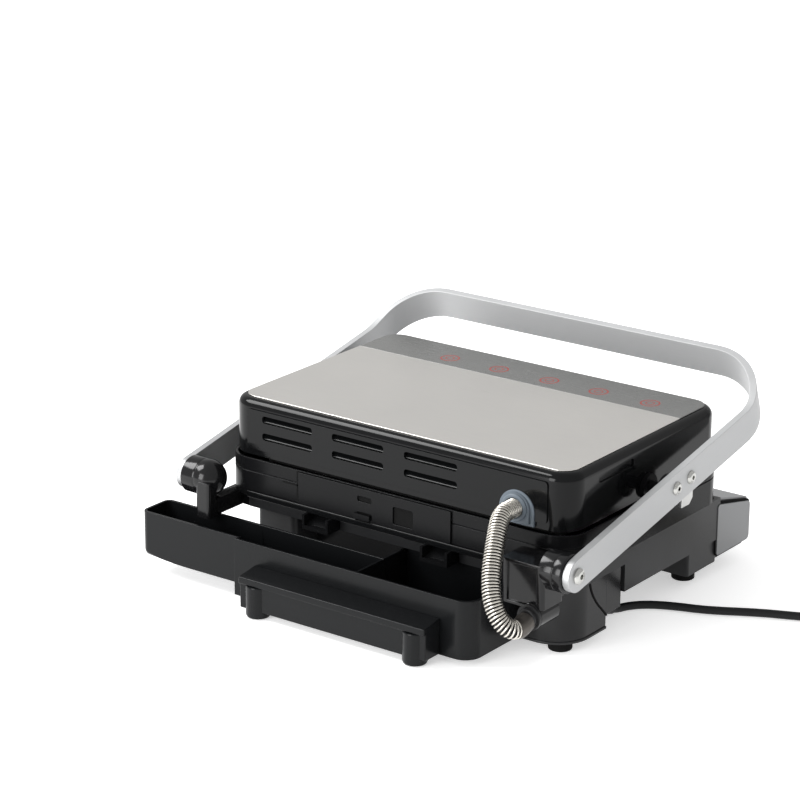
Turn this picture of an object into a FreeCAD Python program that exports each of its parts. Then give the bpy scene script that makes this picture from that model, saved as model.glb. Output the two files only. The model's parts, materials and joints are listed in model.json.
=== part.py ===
import FreeCAD, Part
import math
import os
import Sketcher

# Contact grill with a floating lid, carried by a bent flat-bar handle, and a sliding drip tray.
# Body coordinates, in millimetres: X across the grill, with the tray's grip at +X; Y to the back,
# with 0 at the back edge of the lid's steel plate; Z up, with 0 on the table.

document = FreeCAD.newDocument("contact_grill")
sheet = document.addObject("Spreadsheet::Sheet", "sheet")

DRIVING = {
    # lid
    "plate_half": 165, "plate_back": 0, "plate_joint": -166.5, "plate_front": -217, "plate_corner": 15,
    "plate_low": 154, "plate_top": 155, "lid_half": 172, "lid_back": 8, "lid_front": -223,
    "lid_corner": 21, "lid_shoulder": 7.4, "lid_low": 106, "lid_wall": 2.6,
    "vent_long": 49, "vent_tall": 5.2, "vent_pitch": 73.5, "vent_left": 86, "vent_upper": 139,
    "vent_lower": 124, "grommet_x": -123, "grommet_half": 17, "grommet_low": 106.3, "grommet_top": 134.6,
    "grommet_deep": 7, "bush_ring": 8.5, "bush_out": 176,
    # cooking plates, heaters and reflectors
    "grid_half": 152, "grid_back": -14, "grid_front": -207, "grid_corner": 12, "grid_thick": 5,
    "rib_tall": 4.4, "rib_wide": 4, "rib_pitch": 12.8, "upper_grid_low": 104.6, "lower_grid_top": 103.6,
    "heater_tube": 3.6, "heater_half": 118, "heater_back": -52, "heater_front": -168,
    "upper_heater_level": 119, "lower_heater_level": 89.2, "reflector_thick": 0.8,
    # handle and pivots
    "pivot_y": 34.6, "pivot_z": 87.3, "pin_size": 5, "running_gap": 0.05, "boss_size": 16,
    "boss_out": 191.2, "arm_out": 197.7, "arm_thick": 6.2, "arm_wide": 27, "arm_rise": 11.27,
    "arm_run": 272.6, "bar_rise": 39.66, "bar_lean": 18.66, "bar_reach": 325.6, "bar_bend": 56.5,
    "kink_half": 14, "screw_head": 6, "screw_deep": 3.2, "arm_screw_head": 5.6, "arm_screw_deep": 2.8,
    "float_y": -105.7, "float_z": 115.3, "bracket_thick": 3, "bracket_size": 14,
    "screw_near_y": -109.8, "screw_near_z": 117.2, "screw_far_y": -131.6, "screw_far_z": 120.6,
    "stop_near_y": -130, "stop_far_y": -147, "stop_low_z": 92.5, "stop_top_z": 128, "stop_cut": 5,
    # base
    "base_half": 175.5, "base_back": 12, "base_front": -227, "base_corner": 25, "base_low": 70,
    "base_top": 104, "base_wall": 2.6, "under_half": 173.5, "under_back": 4, "under_front": -225,
    "under_low": 57, "arch_top": 33, "arch_back": -72, "arch_front": -177, "leg_low": 8.5,
    "leg_wall": 2.5, "column_inner": -124.5, "column_outer": -171.5, "column_back": 7.5,
    "column_corner": 28, "leg_inner": 130, "leg_back": -28, "skirt_low": 12,
    "foot_size": 10, "foot_top": 8.5, "front_foot_y": -201, "foot_x": 153.5, "column_foot_y": -11,
    "leg_foot_y": -50, "post_inner": 153, "post_outer": 171, "post_front": 35.6, "post_back": 50.6,
    "post_low": 56.3, "beam_low": 57, "beam_top": 82.6, "housing_inner": 136, "housing_outer": 176,
    "housing_front": 20, "housing_top": 94, "cover_inner": 140, "cover_outer": 170, "cover_low": 59,
    "cover_top": 90, "cover_deep": 2, "collar_x": -165, "collar_z": 50.5, "collar_size": 10.6,
    "collar_out": 57.6,
    # front control housing
    "nose_half": 170, "nose_low": 14, "nose_back": -225.3, "nose_front": -275, "nose_back_top": 67.2,
    "nose_front_top": 53.7, "nose_wall": 2.5, "panel_thick": 1.6, "side_plate_thick": 1.6,
    "knob_x": 0, "knob_z": 34, "knob_size": 14, "knob_deep": 11, "shaft_size": 3, "lamp_size": 3,
    # drip tray, in the pulled-out place
    "tray_left": 223, "tray_step": 118, "tray_divide": -6, "tray_right": -121, "tray_back": 69,
    "tray_back_left": 65, "tray_front_left": 29, "tray_front_right": -4, "tray_top": 55.5,
    "tray_low": 5.6, "tray_low_left": 14.7, "tray_wall": 2.5, "ledge_left": 95.7, "ledge_right": -92,
    "ledge_inner_z": 37.3, "ledge_outer_z": 34, "ledge_y": 91, "ledge_lip": 5.7, "ledge_plate_y": 89,
    "ledge_low": 6.5, "tray_foot_left": 81.2, "tray_foot_right": -77.9, "tray_foot_y": 83,
    "tray_foot_size": 10.5, "tray_foot_low": 0.3, "tray_foot_top": 28,
    # conduit and power cord
    "conduit_size": 8, "cord_size": 3.5, "coil_x": -314.5, "coil_y": -239.6, "coil_inner": 31.5,
    "coil_outer": 45.5, "coil_tall": 13.1, "gland_x": -150, "gland_z": 14, "gland_long": 22,
    "gland_dip": 20.7, "gland_base": 5.5, "gland_tip": 4.4, "plug_back": -285, "plug_y": -282,
    "plug_size": 13, "plug_neck": 10, "plug_long": 34, "plug_pin": 2.4, "plug_pin_long": 19,
    "plug_pin_half": 9.5, "tie_half": 4,
}
for row, (alias, number) in enumerate(DRIVING.items(), start=1):
    sheet.set(f"A{row}", alias)
    sheet.set(f"B{row}", str(number))
    sheet.setAlias(f"B{row}", alias)
document.recompute()


class Size:
    """A length with its value now and the sheet expression that keeps a feature bound to it."""

    def __init__(self, text, value):
        self.text = text
        self.value = float(value)

    def __add__(self, other):
        other = size(other)
        return Size(f"({self.text} + {other.text})", self.value + other.value)

    def __sub__(self, other):
        other = size(other)
        return Size(f"({self.text} - {other.text})", self.value - other.value)

    def __mul__(self, other):
        other = size(other)
        return Size(f"({self.text} * {other.text})", self.value * other.value)

    def __truediv__(self, other):
        other = size(other)
        return Size(f"({self.text} / {other.text})", self.value / other.value)

    def __neg__(self):
        return Size(f"(0 - {self.text})", -self.value)

    __radd__ = __add__
    __rmul__ = __mul__

    def __rsub__(self, other):
        return size(other) - self


def size(number):
    """Any plain number as a Size."""
    if isinstance(number, Size):
        return number
    return Size(f"({number:g})" if number < 0 else f"{number:g}", number)


class Sizes:
    """The sheet's driving dimensions, by name."""


d = Sizes()
for alias in DRIVING:
    setattr(d, alias, Size(f"sheet.{alias}", float(sheet.get(alias))))

# The frame's origin lies under the middle of the grill and its tray, on the table.
frame_x = (d.tray_left - d.arm_out - d.screw_deep - 0.3) / 2
frame_y = (d.tray_foot_y + d.tray_foot_size + d.nose_front - d.panel_thick - d.knob_deep - 0.8) / 2

PARTS = []
PLANES = {"XY": ("XY_Plane", 1), "XZ": ("XZ_Plane", -1), "YZ": ("YZ_Plane", 1)}


def bind(thing, name, length):
    """Hold one property to its sheet expression."""
    thing.setExpression(name, size(length).text)


def place(thing, label):
    """Give a sub-part its name and move it from body coordinates into the frame."""
    thing.Label = label
    thing.Placement.Base = FreeCAD.Vector(-frame_x.value, -frame_y.value, 0)
    bind(thing, "Placement.Base.x", -frame_x)
    bind(thing, "Placement.Base.y", -frame_y)
    PARTS.append(thing)
    return thing


def new_body(label, separate_solids=False):
    body = document.addObject("PartDesign::Body", label)
    body.AllowCompound = separate_solids
    return place(body, label)


def rect(left, right, low, high, radius=None):
    return ("rect", size(left), size(right), size(low), size(high), radius)


def polygon(*corners):
    return ("polygon", [(size(across), size(along)) for across, along in corners])


def disc(across, along, radius):
    return ("disc", size(across), size(along), size(radius))


def hold(sketch, kind, *entries):
    """Add one driving constraint and bind it to the sheet."""
    length = entries[-1]
    number = sketch.addConstraint(Sketcher.Constraint(kind, *entries[:-1], length.value))
    sketch.setExpression(f"Constraints[{number}]", length.text)


def draw_polygon(sketch, corners):
    first = sketch.GeometryCount
    count = len(corners)
    spots = [FreeCAD.Vector(across.value, along.value, 0) for across, along in corners]
    for place_in_row in range(count):
        sketch.addGeometry(Part.LineSegment(spots[place_in_row], spots[(place_in_row + 1) % count]))
    for place_in_row in range(count):
        after = first + (place_in_row + 1) % count
        sketch.addConstraint(Sketcher.Constraint("Coincident", first + place_in_row, 2, after, 1))
    for place_in_row, (across, along) in enumerate(corners):
        hold(sketch, "DistanceX", first + place_in_row, 1, across)
        hold(sketch, "DistanceY", first + place_in_row, 1, along)


def draw_round_rect(sketch, left, right, low, high, radius):
    """Four straight sides joined by four tangent arcs."""
    radius = size(radius)
    first = sketch.GeometryCount
    x0, x1, y0, y1, r = left.value, right.value, low.value, high.value, radius.value
    sides = (((x0 + r, y0), (x1 - r, y0)), ((x1, y0 + r), (x1, y1 - r)),
             ((x1 - r, y1), (x0 + r, y1)), ((x0, y1 - r), (x0, y0 + r)))
    centres = ((x1 - r, y0 + r), (x1 - r, y1 - r), (x0 + r, y1 - r), (x0 + r, y0 + r))
    for start, end in sides:
        sketch.addGeometry(Part.LineSegment(FreeCAD.Vector(*start, 0), FreeCAD.Vector(*end, 0)))
    for turn, centre in enumerate(centres):
        circle = Part.Circle(FreeCAD.Vector(*centre, 0), FreeCAD.Vector(0, 0, 1), r)
        start_angle = (turn - 1) * math.pi / 2
        sketch.addGeometry(Part.ArcOfCircle(circle, start_angle, start_angle + math.pi / 2))
    for turn in range(4):
        arc = first + 4 + turn
        sketch.addConstraint(Sketcher.Constraint("Tangent", first + turn, 2, arc, 1))
        sketch.addConstraint(Sketcher.Constraint("Tangent", arc, 2, first + (turn + 1) % 4, 1))
    for turn in (0, 2):
        sketch.addConstraint(Sketcher.Constraint("Horizontal", first + turn))
        sketch.addConstraint(Sketcher.Constraint("Vertical", first + turn + 1))
    for turn in (1, 2, 3):
        sketch.addConstraint(Sketcher.Constraint("Equal", first + 4, first + 4 + turn))
    hold(sketch, "Radius", first + 4, radius)
    hold(sketch, "DistanceY", first, 1, low)
    hold(sketch, "DistanceX", first + 1, 1, right)
    hold(sketch, "DistanceY", first + 2, 1, high)
    hold(sketch, "DistanceX", first + 3, 1, left)


def draw(body, plane, level, shapes):
    """A sketch of closed outlines on one of the body's own planes, at a level along its normal."""
    role, _ = PLANES[plane]
    sketch = body.newObject("Sketcher::SketchObject", body.Label + "_sketch")
    support = [item for item in body.Origin.OriginFeatures if item.Role == role][0]
    sketch.AttachmentSupport = (support, [""])
    sketch.MapMode = "FlatFace"
    level = size(level)
    sketch.AttachmentOffset = FreeCAD.Placement(FreeCAD.Vector(0, 0, level.value), FreeCAD.Rotation())
    bind(sketch, "AttachmentOffset.Base.z", level)
    for shape in shapes:
        if shape[0] == "polygon":
            draw_polygon(sketch, shape[1])
        elif shape[0] == "disc":
            centre = FreeCAD.Vector(shape[1].value, shape[2].value, 0)
            number = sketch.addGeometry(Part.Circle(centre, FreeCAD.Vector(0, 0, 1), shape[3].value))
            hold(sketch, "Radius", number, shape[3])
            hold(sketch, "DistanceX", number, 3, shape[1])
            hold(sketch, "DistanceY", number, 3, shape[2])
        elif shape[5] is None:
            left, right, low, high = shape[1:5]
            draw_polygon(sketch, [(left, low), (right, low), (right, high), (left, high)])
        else:
            draw_round_rect(sketch, *shape[1:])
    return sketch


def pad(body, plane, start, stop, *shapes):
    """Add material between two levels of the plane's own axis."""
    start, stop = size(start), size(stop)
    level = start if PLANES[plane][1] > 0 else -stop
    feature = body.newObject("PartDesign::Pad", body.Label + "_pad")
    feature.Profile = draw(body, plane, level, shapes)
    feature.Length = (stop - start).value
    bind(feature, "Length", stop - start)
    document.recompute()
    return feature


def cut(body, plane, start, stop, *shapes):
    """Take material away between two levels of the plane's own axis."""
    before = body.Shape.Volume
    start, stop = size(start), size(stop)
    level = stop if PLANES[plane][1] > 0 else -start
    feature = body.newObject("PartDesign::Pocket", body.Label + "_pocket")
    feature.Profile = draw(body, plane, level, shapes)
    feature.Length = (stop - start).value
    bind(feature, "Length", stop - start)
    document.recompute()
    if body.Shape.Volume > before - 0.01:
        raise ValueError(f"{body.Label}: a pocket cut nothing")
    return feature


def edges_where(body, direction, test):
    """Names of the straight edges along a direction whose middle passes the test."""
    names = []
    shape = body.Tip.Shape
    for number, edge in enumerate(shape.Edges, start=1):
        if len(edge.Vertexes) != 2:
            continue
        span = edge.Vertexes[1].Point - edge.Vertexes[0].Point
        middle = edge.valueAt((edge.FirstParameter + edge.LastParameter) / 2)
        straight = span.Length > 0 and abs(span.normalize().dot(direction)) > 0.999
        if straight and test(middle):
            names.append(f"Edge{number}")
    return names


def edges_at_level(body, level, axis="Z"):
    """Names of the edges that lie in one plane across the given axis."""
    names = []
    for number, edge in enumerate(body.Tip.Shape.Edges, start=1):
        low, high = getattr(edge.BoundBox, axis + "Min"), getattr(edge.BoundBox, axis + "Max")
        if abs(low - level.value) < 0.01 and abs(high - level.value) < 0.01:
            names.append(f"Edge{number}")
    return names


def round_edges(body, names, radius, kind="PartDesign::Fillet"):
    if not names:
        raise ValueError(f"{body.Label}: no edge to round")
    radius = size(radius)
    feature = body.newObject(kind, body.Label + "_round")
    feature.Base = (feature.BaseFeature or body.Tip, names)
    name = "Radius" if kind.endswith("Fillet") else "Size"
    setattr(feature, name, radius.value)
    bind(feature, name, radius)
    document.recompute()
    return feature


ALONG_X = FreeCAD.Vector(1, 0, 0)
ALONG_Z = FreeCAD.Vector(0, 0, 1)


def free_shape(label, shape):
    """A sub-part whose shape is made with Part's own functions from the sheet's sizes."""
    feature = document.addObject("Part::Feature", label)
    feature.Shape = shape
    return place(feature, label)


def both_sides(make):
    """Run a function for the side with the tray's grip and for the other side."""
    for side_name, sign in (("left", 1), ("right", -1)):
        make(side_name, sign)


def span(sign, near, far):
    """The low and high X of a stretch from near to far on one side."""
    near, far = size(near), size(far)
    return (near, far) if sign > 0 else (-far, -near)


# ---------------------------------------------------------------- lid

def lid_casing():
    """Glossy moulded lid, open below, with rear and side vents and the conduit's doorway."""
    body = new_body("lid_casing")
    outside = rect(-d.lid_half, d.lid_half, d.lid_front, d.lid_back, d.lid_corner)
    pad(body, "XY", d.lid_low, d.plate_low, outside)
    round_edges(body, edges_at_level(body, d.plate_low), d.lid_shoulder)
    inner = d.lid_half - d.lid_wall
    hollow = rect(-inner, inner, d.lid_front + d.lid_wall, d.lid_back - d.lid_wall,
                  d.lid_corner - d.lid_wall)
    cut(body, "XY", d.lid_low, d.plate_low - d.lid_shoulder, hollow)
    upper = rect(-d.plate_half + 2, d.plate_half - 2, d.plate_front + 2, d.plate_back - 2, d.plate_corner)
    cut(body, "XY", d.plate_low - d.lid_shoulder - 1, d.plate_low - d.lid_wall, upper)
    slots = []
    for group in range(3):
        left = d.vent_left - group * d.vent_pitch
        for level in (d.vent_upper, d.vent_lower):
            low = level - d.vent_tall / 2
            slots.append(rect(left, left + d.vent_long, low, low + d.vent_tall, d.vent_tall / 2 - 0.1))
    cut(body, "XZ", d.lid_back - 2 * d.lid_wall, d.lid_back + 1, *slots)
    side_slot = rect(-85, -33, d.vent_upper - 1, d.vent_upper + 6, 3)
    cut(body, "YZ", -d.lid_half - 1, -d.lid_half + 2 * d.lid_wall, side_slot)
    cut(body, "YZ", d.lid_half - 2 * d.lid_wall, d.lid_half + 1, side_slot)
    door = rect(d.grommet_x - d.grommet_half, d.grommet_x + d.grommet_half, d.lid_low - 1,
                d.grommet_top, d.grommet_half - 4)
    cut(body, "XZ", d.lid_back - 2 * d.lid_wall, d.lid_back + 1, door)
    cut(body, "YZ", -d.lid_half - 1, -d.lid_half + 2 * d.lid_wall, disc(d.float_y, d.float_z, d.bush_ring))
    cut(body, "YZ", d.lid_half - 2 * d.lid_wall, d.lid_half + 1, disc(d.float_y, d.float_z, d.bush_ring))


def lid_plates():
    """Brushed steel top plate and the dark printed strip in front of it."""
    plate = new_body("top_plate")
    pad(plate, "XY", d.plate_low, d.plate_top,
        rect(-d.plate_half, d.plate_half, d.plate_joint, d.plate_back))
    back = edges_where(plate, ALONG_Z, lambda point: point.y > d.plate_back.value - 1)
    round_edges(plate, back, d.plate_corner)
    strip = new_body("front_strip")
    pad(strip, "XY", d.plate_low, d.plate_top,
        rect(-d.plate_half, d.plate_half, d.plate_front, d.plate_joint - 0.1))
    front = edges_where(strip, ALONG_Z, lambda point: point.y < d.plate_front.value + 1)
    round_edges(strip, front, d.plate_corner)


def cooking_plate(label, flat_low, flat_high, rib_low, rib_high):
    """Cast plate with a rim and ribs that run from back to front."""
    body = new_body(label)
    pad(body, "XY", flat_low, flat_high,
        rect(-d.grid_half, d.grid_half, d.grid_front, d.grid_back, d.grid_corner))
    ribs = []
    count = 22
    for number in range(count):
        middle = d.rib_pitch * (number - (count - 1) / 2)
        ribs.append(rect(middle - d.rib_wide / 2, middle + d.rib_wide / 2, d.grid_front + 12,
                         d.grid_back - 12))
    pad(body, "XY", rib_low, rib_high, *ribs)
    return body


def heater(label, level):
    """Tubular heating element, bent to a U, with its two cold ends to the back."""
    half, back, front = d.heater_half.value, d.heater_back.value, d.heater_front.value
    height, radius = level.value, d.heater_tube.value
    bend = 30
    centre = FreeCAD.Vector(half, back, height)
    route = [centre, FreeCAD.Vector(half, front, height), FreeCAD.Vector(-half, front, height),
             FreeCAD.Vector(-half, back, height)]
    free_shape(label, tube(rounded_route(route, bend), radius))


def reflector(label, low, lip_up):
    """Thin folded sheet that throws the heat at the cooking plate."""
    body = new_body(label)
    edge = d.grid_half - 10
    outside = rect(-edge, edge, d.grid_front + 10, d.grid_back - 10, 8)
    inside = rect(-edge + 1, edge - 1, d.grid_front + 11, d.grid_back - 11, 7)
    pad(body, "XY", low, low + d.reflector_thick, outside)
    if lip_up:
        pad(body, "XY", low + d.reflector_thick, low + 5, outside, inside)
    else:
        pad(body, "XY", low - 5, low, outside, inside)


def lid_inside():
    """Upper cooking plate, its heater, reflector and the four pillars that hold them."""
    low = d.upper_grid_low + d.rib_tall
    cooking_plate("upper_cooking_plate", low, low + d.grid_thick, d.upper_grid_low, low)
    heater("upper_heater", d.upper_heater_level)
    reflector("upper_reflector", d.upper_heater_level + 10, False)
    pillars = new_body("lid_pillars", True)
    spots = [(-144, -197), (-144, -24), (144, -197), (144, -24)]
    pad(pillars, "XY", low + d.grid_thick, d.plate_low - d.lid_shoulder - 1,
        *[disc(across, along, 3.5) for across, along in spots])
    block = new_body("lid_terminal_block")
    pad(block, "XY", d.upper_heater_level + 10 + d.reflector_thick, d.upper_heater_level + 22,
        rect(-135, -95, -48, -30))


def grommet():
    """Moulded bush that carries the conduit through the lid's back wall."""
    body = new_body("conduit_grommet")
    centre_z = d.grommet_top - d.grommet_half
    slim = d.grommet_half - 0.2
    left, right = d.grommet_x - slim, d.grommet_x + slim
    pad(body, "XZ", d.lid_back - d.lid_wall - 2, d.lid_back + d.grommet_deep,
        rect(left, right, d.grommet_low, d.grommet_top - 0.2, d.grommet_half - 4.2))
    cut(body, "XZ", d.lid_back - d.lid_wall - 3, d.lid_back + d.grommet_deep + 1,
        disc(d.grommet_x, centre_z + 3, d.conduit_size - 3))
    front = edges_where(body, ALONG_X, lambda point: point.y > d.lid_back.value + 6)
    round_edges(body, front, 2)


def lid_bush(side_name, sign):
    """Flanged bush in the lid's side wall, for the bracket's pin."""
    body = new_body(f"lid_bush_{side_name}")
    hole = disc(d.float_y, d.float_z, d.pin_size + d.running_gap)
    low, high = span(sign, d.lid_half - d.lid_wall - 4, d.bush_out)
    pad(body, "YZ", low, high, disc(d.float_y, d.float_z, d.bush_ring - 0.05), hole)
    low, high = span(sign, d.lid_half + 0.2, d.bush_out)
    pad(body, "YZ", low, high, disc(d.float_y, d.float_z, d.bush_ring + 2), hole)


# ---------------------------------------------------------------- base

def base_shell():
    """Upper band of the base, a tub with round corners that holds the lower cooking plate."""
    body = new_body("base_shell")
    pad(body, "XY", d.base_low, d.base_top,
        rect(-d.base_half, d.base_half, d.base_front, d.base_back, d.base_corner))
    inner = d.base_half - d.base_wall
    cut(body, "XY", d.base_low + d.base_wall, d.base_top + 1,
        rect(-inner, inner, d.base_front + d.base_wall, d.base_back - d.base_wall,
             d.base_corner - d.base_wall))
    round_edges(body, [edges_at_level(body, d.base_top)[0]], 1)
    cut(body, "XZ", d.base_back - 1.2, d.base_back + 1, rect(-d.base_half + 30, d.base_half - 30, 92, 93.2))


def base_underside():
    """Lower housing: a flat pan over the tray, and a deeper tub in front of it."""
    body = new_body("base_underside")
    pad(body, "XY", d.under_low, d.base_low,
        rect(-d.under_half, d.under_half, d.under_front, d.under_back))
    back = edges_where(body, ALONG_Z, lambda point: point.y > d.under_back.value - 1)
    round_edges(body, back, d.base_corner - 3)
    pad(body, "XY", d.arch_top, d.under_low,
        rect(-d.under_half, d.under_half, d.under_front, d.arch_back - 2))
    wall = d.leg_wall
    cut(body, "XY", d.arch_top + wall, d.base_low + 1,
        rect(-d.under_half + wall, d.under_half - wall, d.under_front + wall, d.arch_back - 2 - wall, 6))
    cut(body, "XY", d.under_low + wall, d.base_low + 1,
        rect(-d.under_half + wall, d.under_half - wall, d.arch_back, d.under_back - wall, 18))


def rear_column():
    """Leg under the conduit's side, with a proud lip round its bottom edge."""
    body = new_body("rear_column")
    pad(body, "XY", d.leg_low, d.under_low,
        rect(d.column_outer, d.column_inner, d.arch_back, d.column_back))
    round_corner = edges_where(body, ALONG_Z, lambda point: point.y > 0 and point.x < -160)
    round_edges(body, round_corner, d.column_corner)
    wall = d.leg_wall
    cut(body, "XY", d.leg_low + wall, d.under_low + 1,
        rect(d.column_outer + wall, d.column_inner - wall, d.arch_back + wall, -22, 3),
        rect(d.column_outer + 14, d.column_inner - wall, -19.5, d.column_back - wall, 3))
    lip = new_body("column_lip")
    pad(lip, "XY", d.leg_low, d.leg_low + 3.5,
        rect(d.column_outer - 1.8, d.column_outer - 0.05, d.arch_back, d.column_back - 34))


def left_leg():
    """Leg on the tray-grip side, set forward so that the tray's long end clears it."""
    body = new_body("rear_leg_left")
    pad(body, "XY", d.leg_low, d.under_low,
        rect(d.leg_inner, -d.column_outer, d.arch_back, d.leg_back, 5))
    wall = d.leg_wall
    cut(body, "XY", d.leg_low + wall, d.under_low + 1,
        rect(d.leg_inner + wall, -d.column_outer - wall, d.arch_back + wall, d.leg_back - wall, 3))


def front_skirt():
    """Front foot of the base, one tub across its whole width."""
    body = new_body("front_skirt")
    pad(body, "XY", d.skirt_low, d.arch_top,
        rect(d.column_outer, -d.column_outer, d.under_front, d.arch_front, 3))
    wall = d.leg_wall
    cut(body, "XY", d.skirt_low + wall, d.arch_top + 1,
        rect(d.column_outer + wall, -d.column_outer - wall, d.under_front + wall, d.arch_front - wall, 2))


def rubber_feet():
    body = new_body("rubber_feet", True)
    pad(body, "XY", 0, d.foot_top, disc(-d.foot_x, d.column_foot_y, d.foot_size),
        disc(d.foot_x, d.leg_foot_y, d.foot_size))
    pad(body, "XY", 0, d.skirt_low, disc(-d.foot_x, d.front_foot_y, d.foot_size),
        disc(d.foot_x, d.front_foot_y, d.foot_size))
    round_edges(body, edges_at_level(body, size(0)), 1.5)


def front_nose():
    """Control housing in front of the base, with a sloping top."""
    body = new_body("control_housing")
    pad(body, "YZ", -d.nose_half, d.nose_half,
        polygon((d.nose_back, d.nose_low), (d.nose_back, d.nose_back_top), (d.nose_front, d.nose_front_top),
                (d.nose_front, d.nose_low + 5), (d.nose_front + 5, d.nose_low)))
    wall = d.nose_wall
    inner = d.nose_half - wall
    cut(body, "YZ", -inner, inner,
        polygon((d.nose_back + 1, d.nose_low + wall), (d.nose_back + 1, d.nose_back_top - 4),
                (d.nose_front + wall, d.nose_front_top - wall), (d.nose_front + wall, d.nose_low + 6),
                (d.nose_front + 6, d.nose_low + wall)))
    cut(body, "XZ", d.nose_front - 1, d.nose_front + 2 * wall,
        disc(d.knob_x, d.knob_z, d.shaft_size + d.running_gap))
    panel = new_body("control_panel")
    low_top = d.nose_front_top + d.panel_thick
    pad(panel, "YZ", -d.nose_half, d.nose_half,
        polygon((d.nose_back, d.nose_back_top), (d.nose_back, d.nose_back_top + d.panel_thick),
                (d.nose_front - d.panel_thick + 1, low_top), (d.nose_front - d.panel_thick, low_top - 1),
                (d.nose_front - d.panel_thick, d.nose_low + 8), (d.nose_front, d.nose_low + 8),
                (d.nose_front, d.nose_front_top)))
    cut(panel, "XZ", d.nose_front - 3, d.nose_front + 0.2,
        disc(d.knob_x, d.knob_z, d.shaft_size + 1),
        disc(d.knob_x + 34, d.knob_z, d.lamp_size), disc(d.knob_x - 34, d.knob_z, d.lamp_size))


def side_plate(side_name, sign):
    """Steel cheek on the end of the control housing."""
    body = new_body(f"side_plate_{side_name}")
    low, high = span(sign, d.nose_half, d.nose_half + d.side_plate_thick)
    slope = (d.nose_back_top - d.nose_front_top) / (d.nose_back - d.nose_front)
    pad(body, "YZ", low, high,
        polygon((d.nose_back - 3.5, 21), (d.nose_back - 3.5, d.nose_back_top - 3 - slope * 3.5),
                (d.nose_front + 1, d.nose_front_top - 3), (d.nose_front, d.nose_front_top - 6),
                (d.nose_front, 24), (d.nose_front + 2, 21)))


def pilot_lamp(side_name, sign):
    body = new_body(f"pilot_lamp_{side_name}")
    face = d.nose_front - d.panel_thick - 1.2
    pad(body, "XZ", face, d.nose_front, disc(d.knob_x + 34 * sign, d.knob_z, d.lamp_size - 0.05))
    round_edges(body, edges_at_level(body, face, "Y"), 0.5)


def thermostat_knob():
    """Control knob with a pointer ridge and its own shaft."""
    body = new_body("thermostat_knob")
    face = d.nose_front - d.panel_thick - 0.8
    pad(body, "XZ", face - d.knob_deep + 4, face, disc(d.knob_x, d.knob_z, d.knob_size))
    pad(body, "XZ", face - d.knob_deep, face - d.knob_deep + 4,
        rect(d.knob_x - 3.2, d.knob_x + 3.2, d.knob_z - d.knob_size + 1, d.knob_z + d.knob_size - 1, 2))
    pad(body, "XZ", face, d.nose_front + 12, disc(d.knob_x, d.knob_z, d.shaft_size))
    switch = new_body("thermostat")
    pad(switch, "XZ", d.nose_front + 12.6, d.nose_front + 34,
        rect(d.knob_x - 15, d.knob_x + 15, d.knob_z - 11, d.knob_z + 11, 3))


def left_post():
    """Cantilever beam, post and boss that carry the handle on the tray-grip side."""
    body = new_body("pivot_post_left")
    pad(body, "YZ", d.post_inner, d.post_outer,
        polygon((d.base_back, d.beam_low), (d.post_front, d.beam_low), (d.post_front, d.post_low),
                (d.post_back, d.post_low), (d.post_back, d.pivot_z),
                (d.pivot_y - d.boss_size, d.pivot_z), (d.pivot_y - d.boss_size, d.beam_top),
                (d.base_back, d.beam_top)))
    pad(body, "YZ", d.post_inner, d.boss_out, disc(d.pivot_y, d.pivot_z, d.boss_size))
    pad(body, "XY", d.beam_low, d.base_low, rect(d.post_inner, d.post_outer - 12, d.under_back, d.base_back + 2))
    cut(body, "YZ", d.post_inner + 6, d.boss_out + 1, disc(d.pivot_y, d.pivot_z, d.pin_size + 0.02))


def right_post():
    """Wider housing on the conduit's side: beam, block with a recessed cover, and boss."""
    body = new_body("pivot_housing_right")
    pad(body, "XY", d.beam_low, d.housing_top,
        rect(-d.housing_outer, -d.housing_inner, d.housing_front, d.post_back, 4))
    pad(body, "XY", d.beam_low, d.beam_top, rect(-d.housing_outer + 4, -d.housing_outer + 18,
                                                 d.base_back, d.housing_front + 5))
    pad(body, "YZ", -d.boss_out, -d.housing_inner - 14, disc(d.pivot_y, d.pivot_z, d.boss_size))
    cut(body, "YZ", -d.boss_out - 1, -d.housing_inner - 20, disc(d.pivot_y, d.pivot_z, d.pin_size + 0.02))
    cut(body, "XZ", d.post_back - d.cover_deep, d.post_back + 1,
        rect(-d.cover_outer, -d.cover_inner, d.cover_low, d.cover_top, 2))
    lobe = rect(d.collar_x - 12, d.collar_x + 12, d.collar_z - 12, d.beam_low + 2, 6)
    pad(body, "XZ", d.post_back - 18, d.post_back, lobe)
    cover = new_body("housing_cover")
    pad(cover, "XZ", d.post_back - d.cover_deep, d.post_back - 0.6,
        rect(-d.cover_outer + 0.3, -d.cover_inner - 0.3, d.cover_low + 6, d.cover_top - 0.3, 1.7))


def conduit_collar():
    """Stepped ferrule that ends the conduit at the housing."""
    body = new_body("conduit_collar")
    pad(body, "XZ", d.post_back, d.post_back + 3, disc(d.collar_x, d.collar_z, d.collar_size))
    pad(body, "XZ", d.post_back + 3, d.collar_out, disc(d.collar_x, d.collar_z, d.collar_size - 2))
    round_edges(body, edges_at_level(body, d.collar_out, "Y"), 1)


def base_inside():
    """Lower cooking plate, heater, reflector and terminal block."""
    top = d.lower_grid_top - d.rib_tall
    cooking_plate("lower_cooking_plate", top - d.grid_thick, top, top, d.lower_grid_top)
    heater("lower_heater", d.lower_heater_level)
    reflector("lower_reflector", d.base_low + d.base_wall + 3, True)
    pillars = new_body("base_pillars", True)
    spots = [(-147, -202), (-147, -19), (147, -202), (147, -19)]
    pad(pillars, "XY", d.base_low + d.base_wall, top - d.grid_thick,
        *[disc(across, along, 3) for across, along in spots])
    block = new_body("terminal_block")
    pad(block, "XY", d.arch_top + d.leg_wall, d.arch_top + d.leg_wall + 16, rect(-140, -90, -130, -105))


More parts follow.
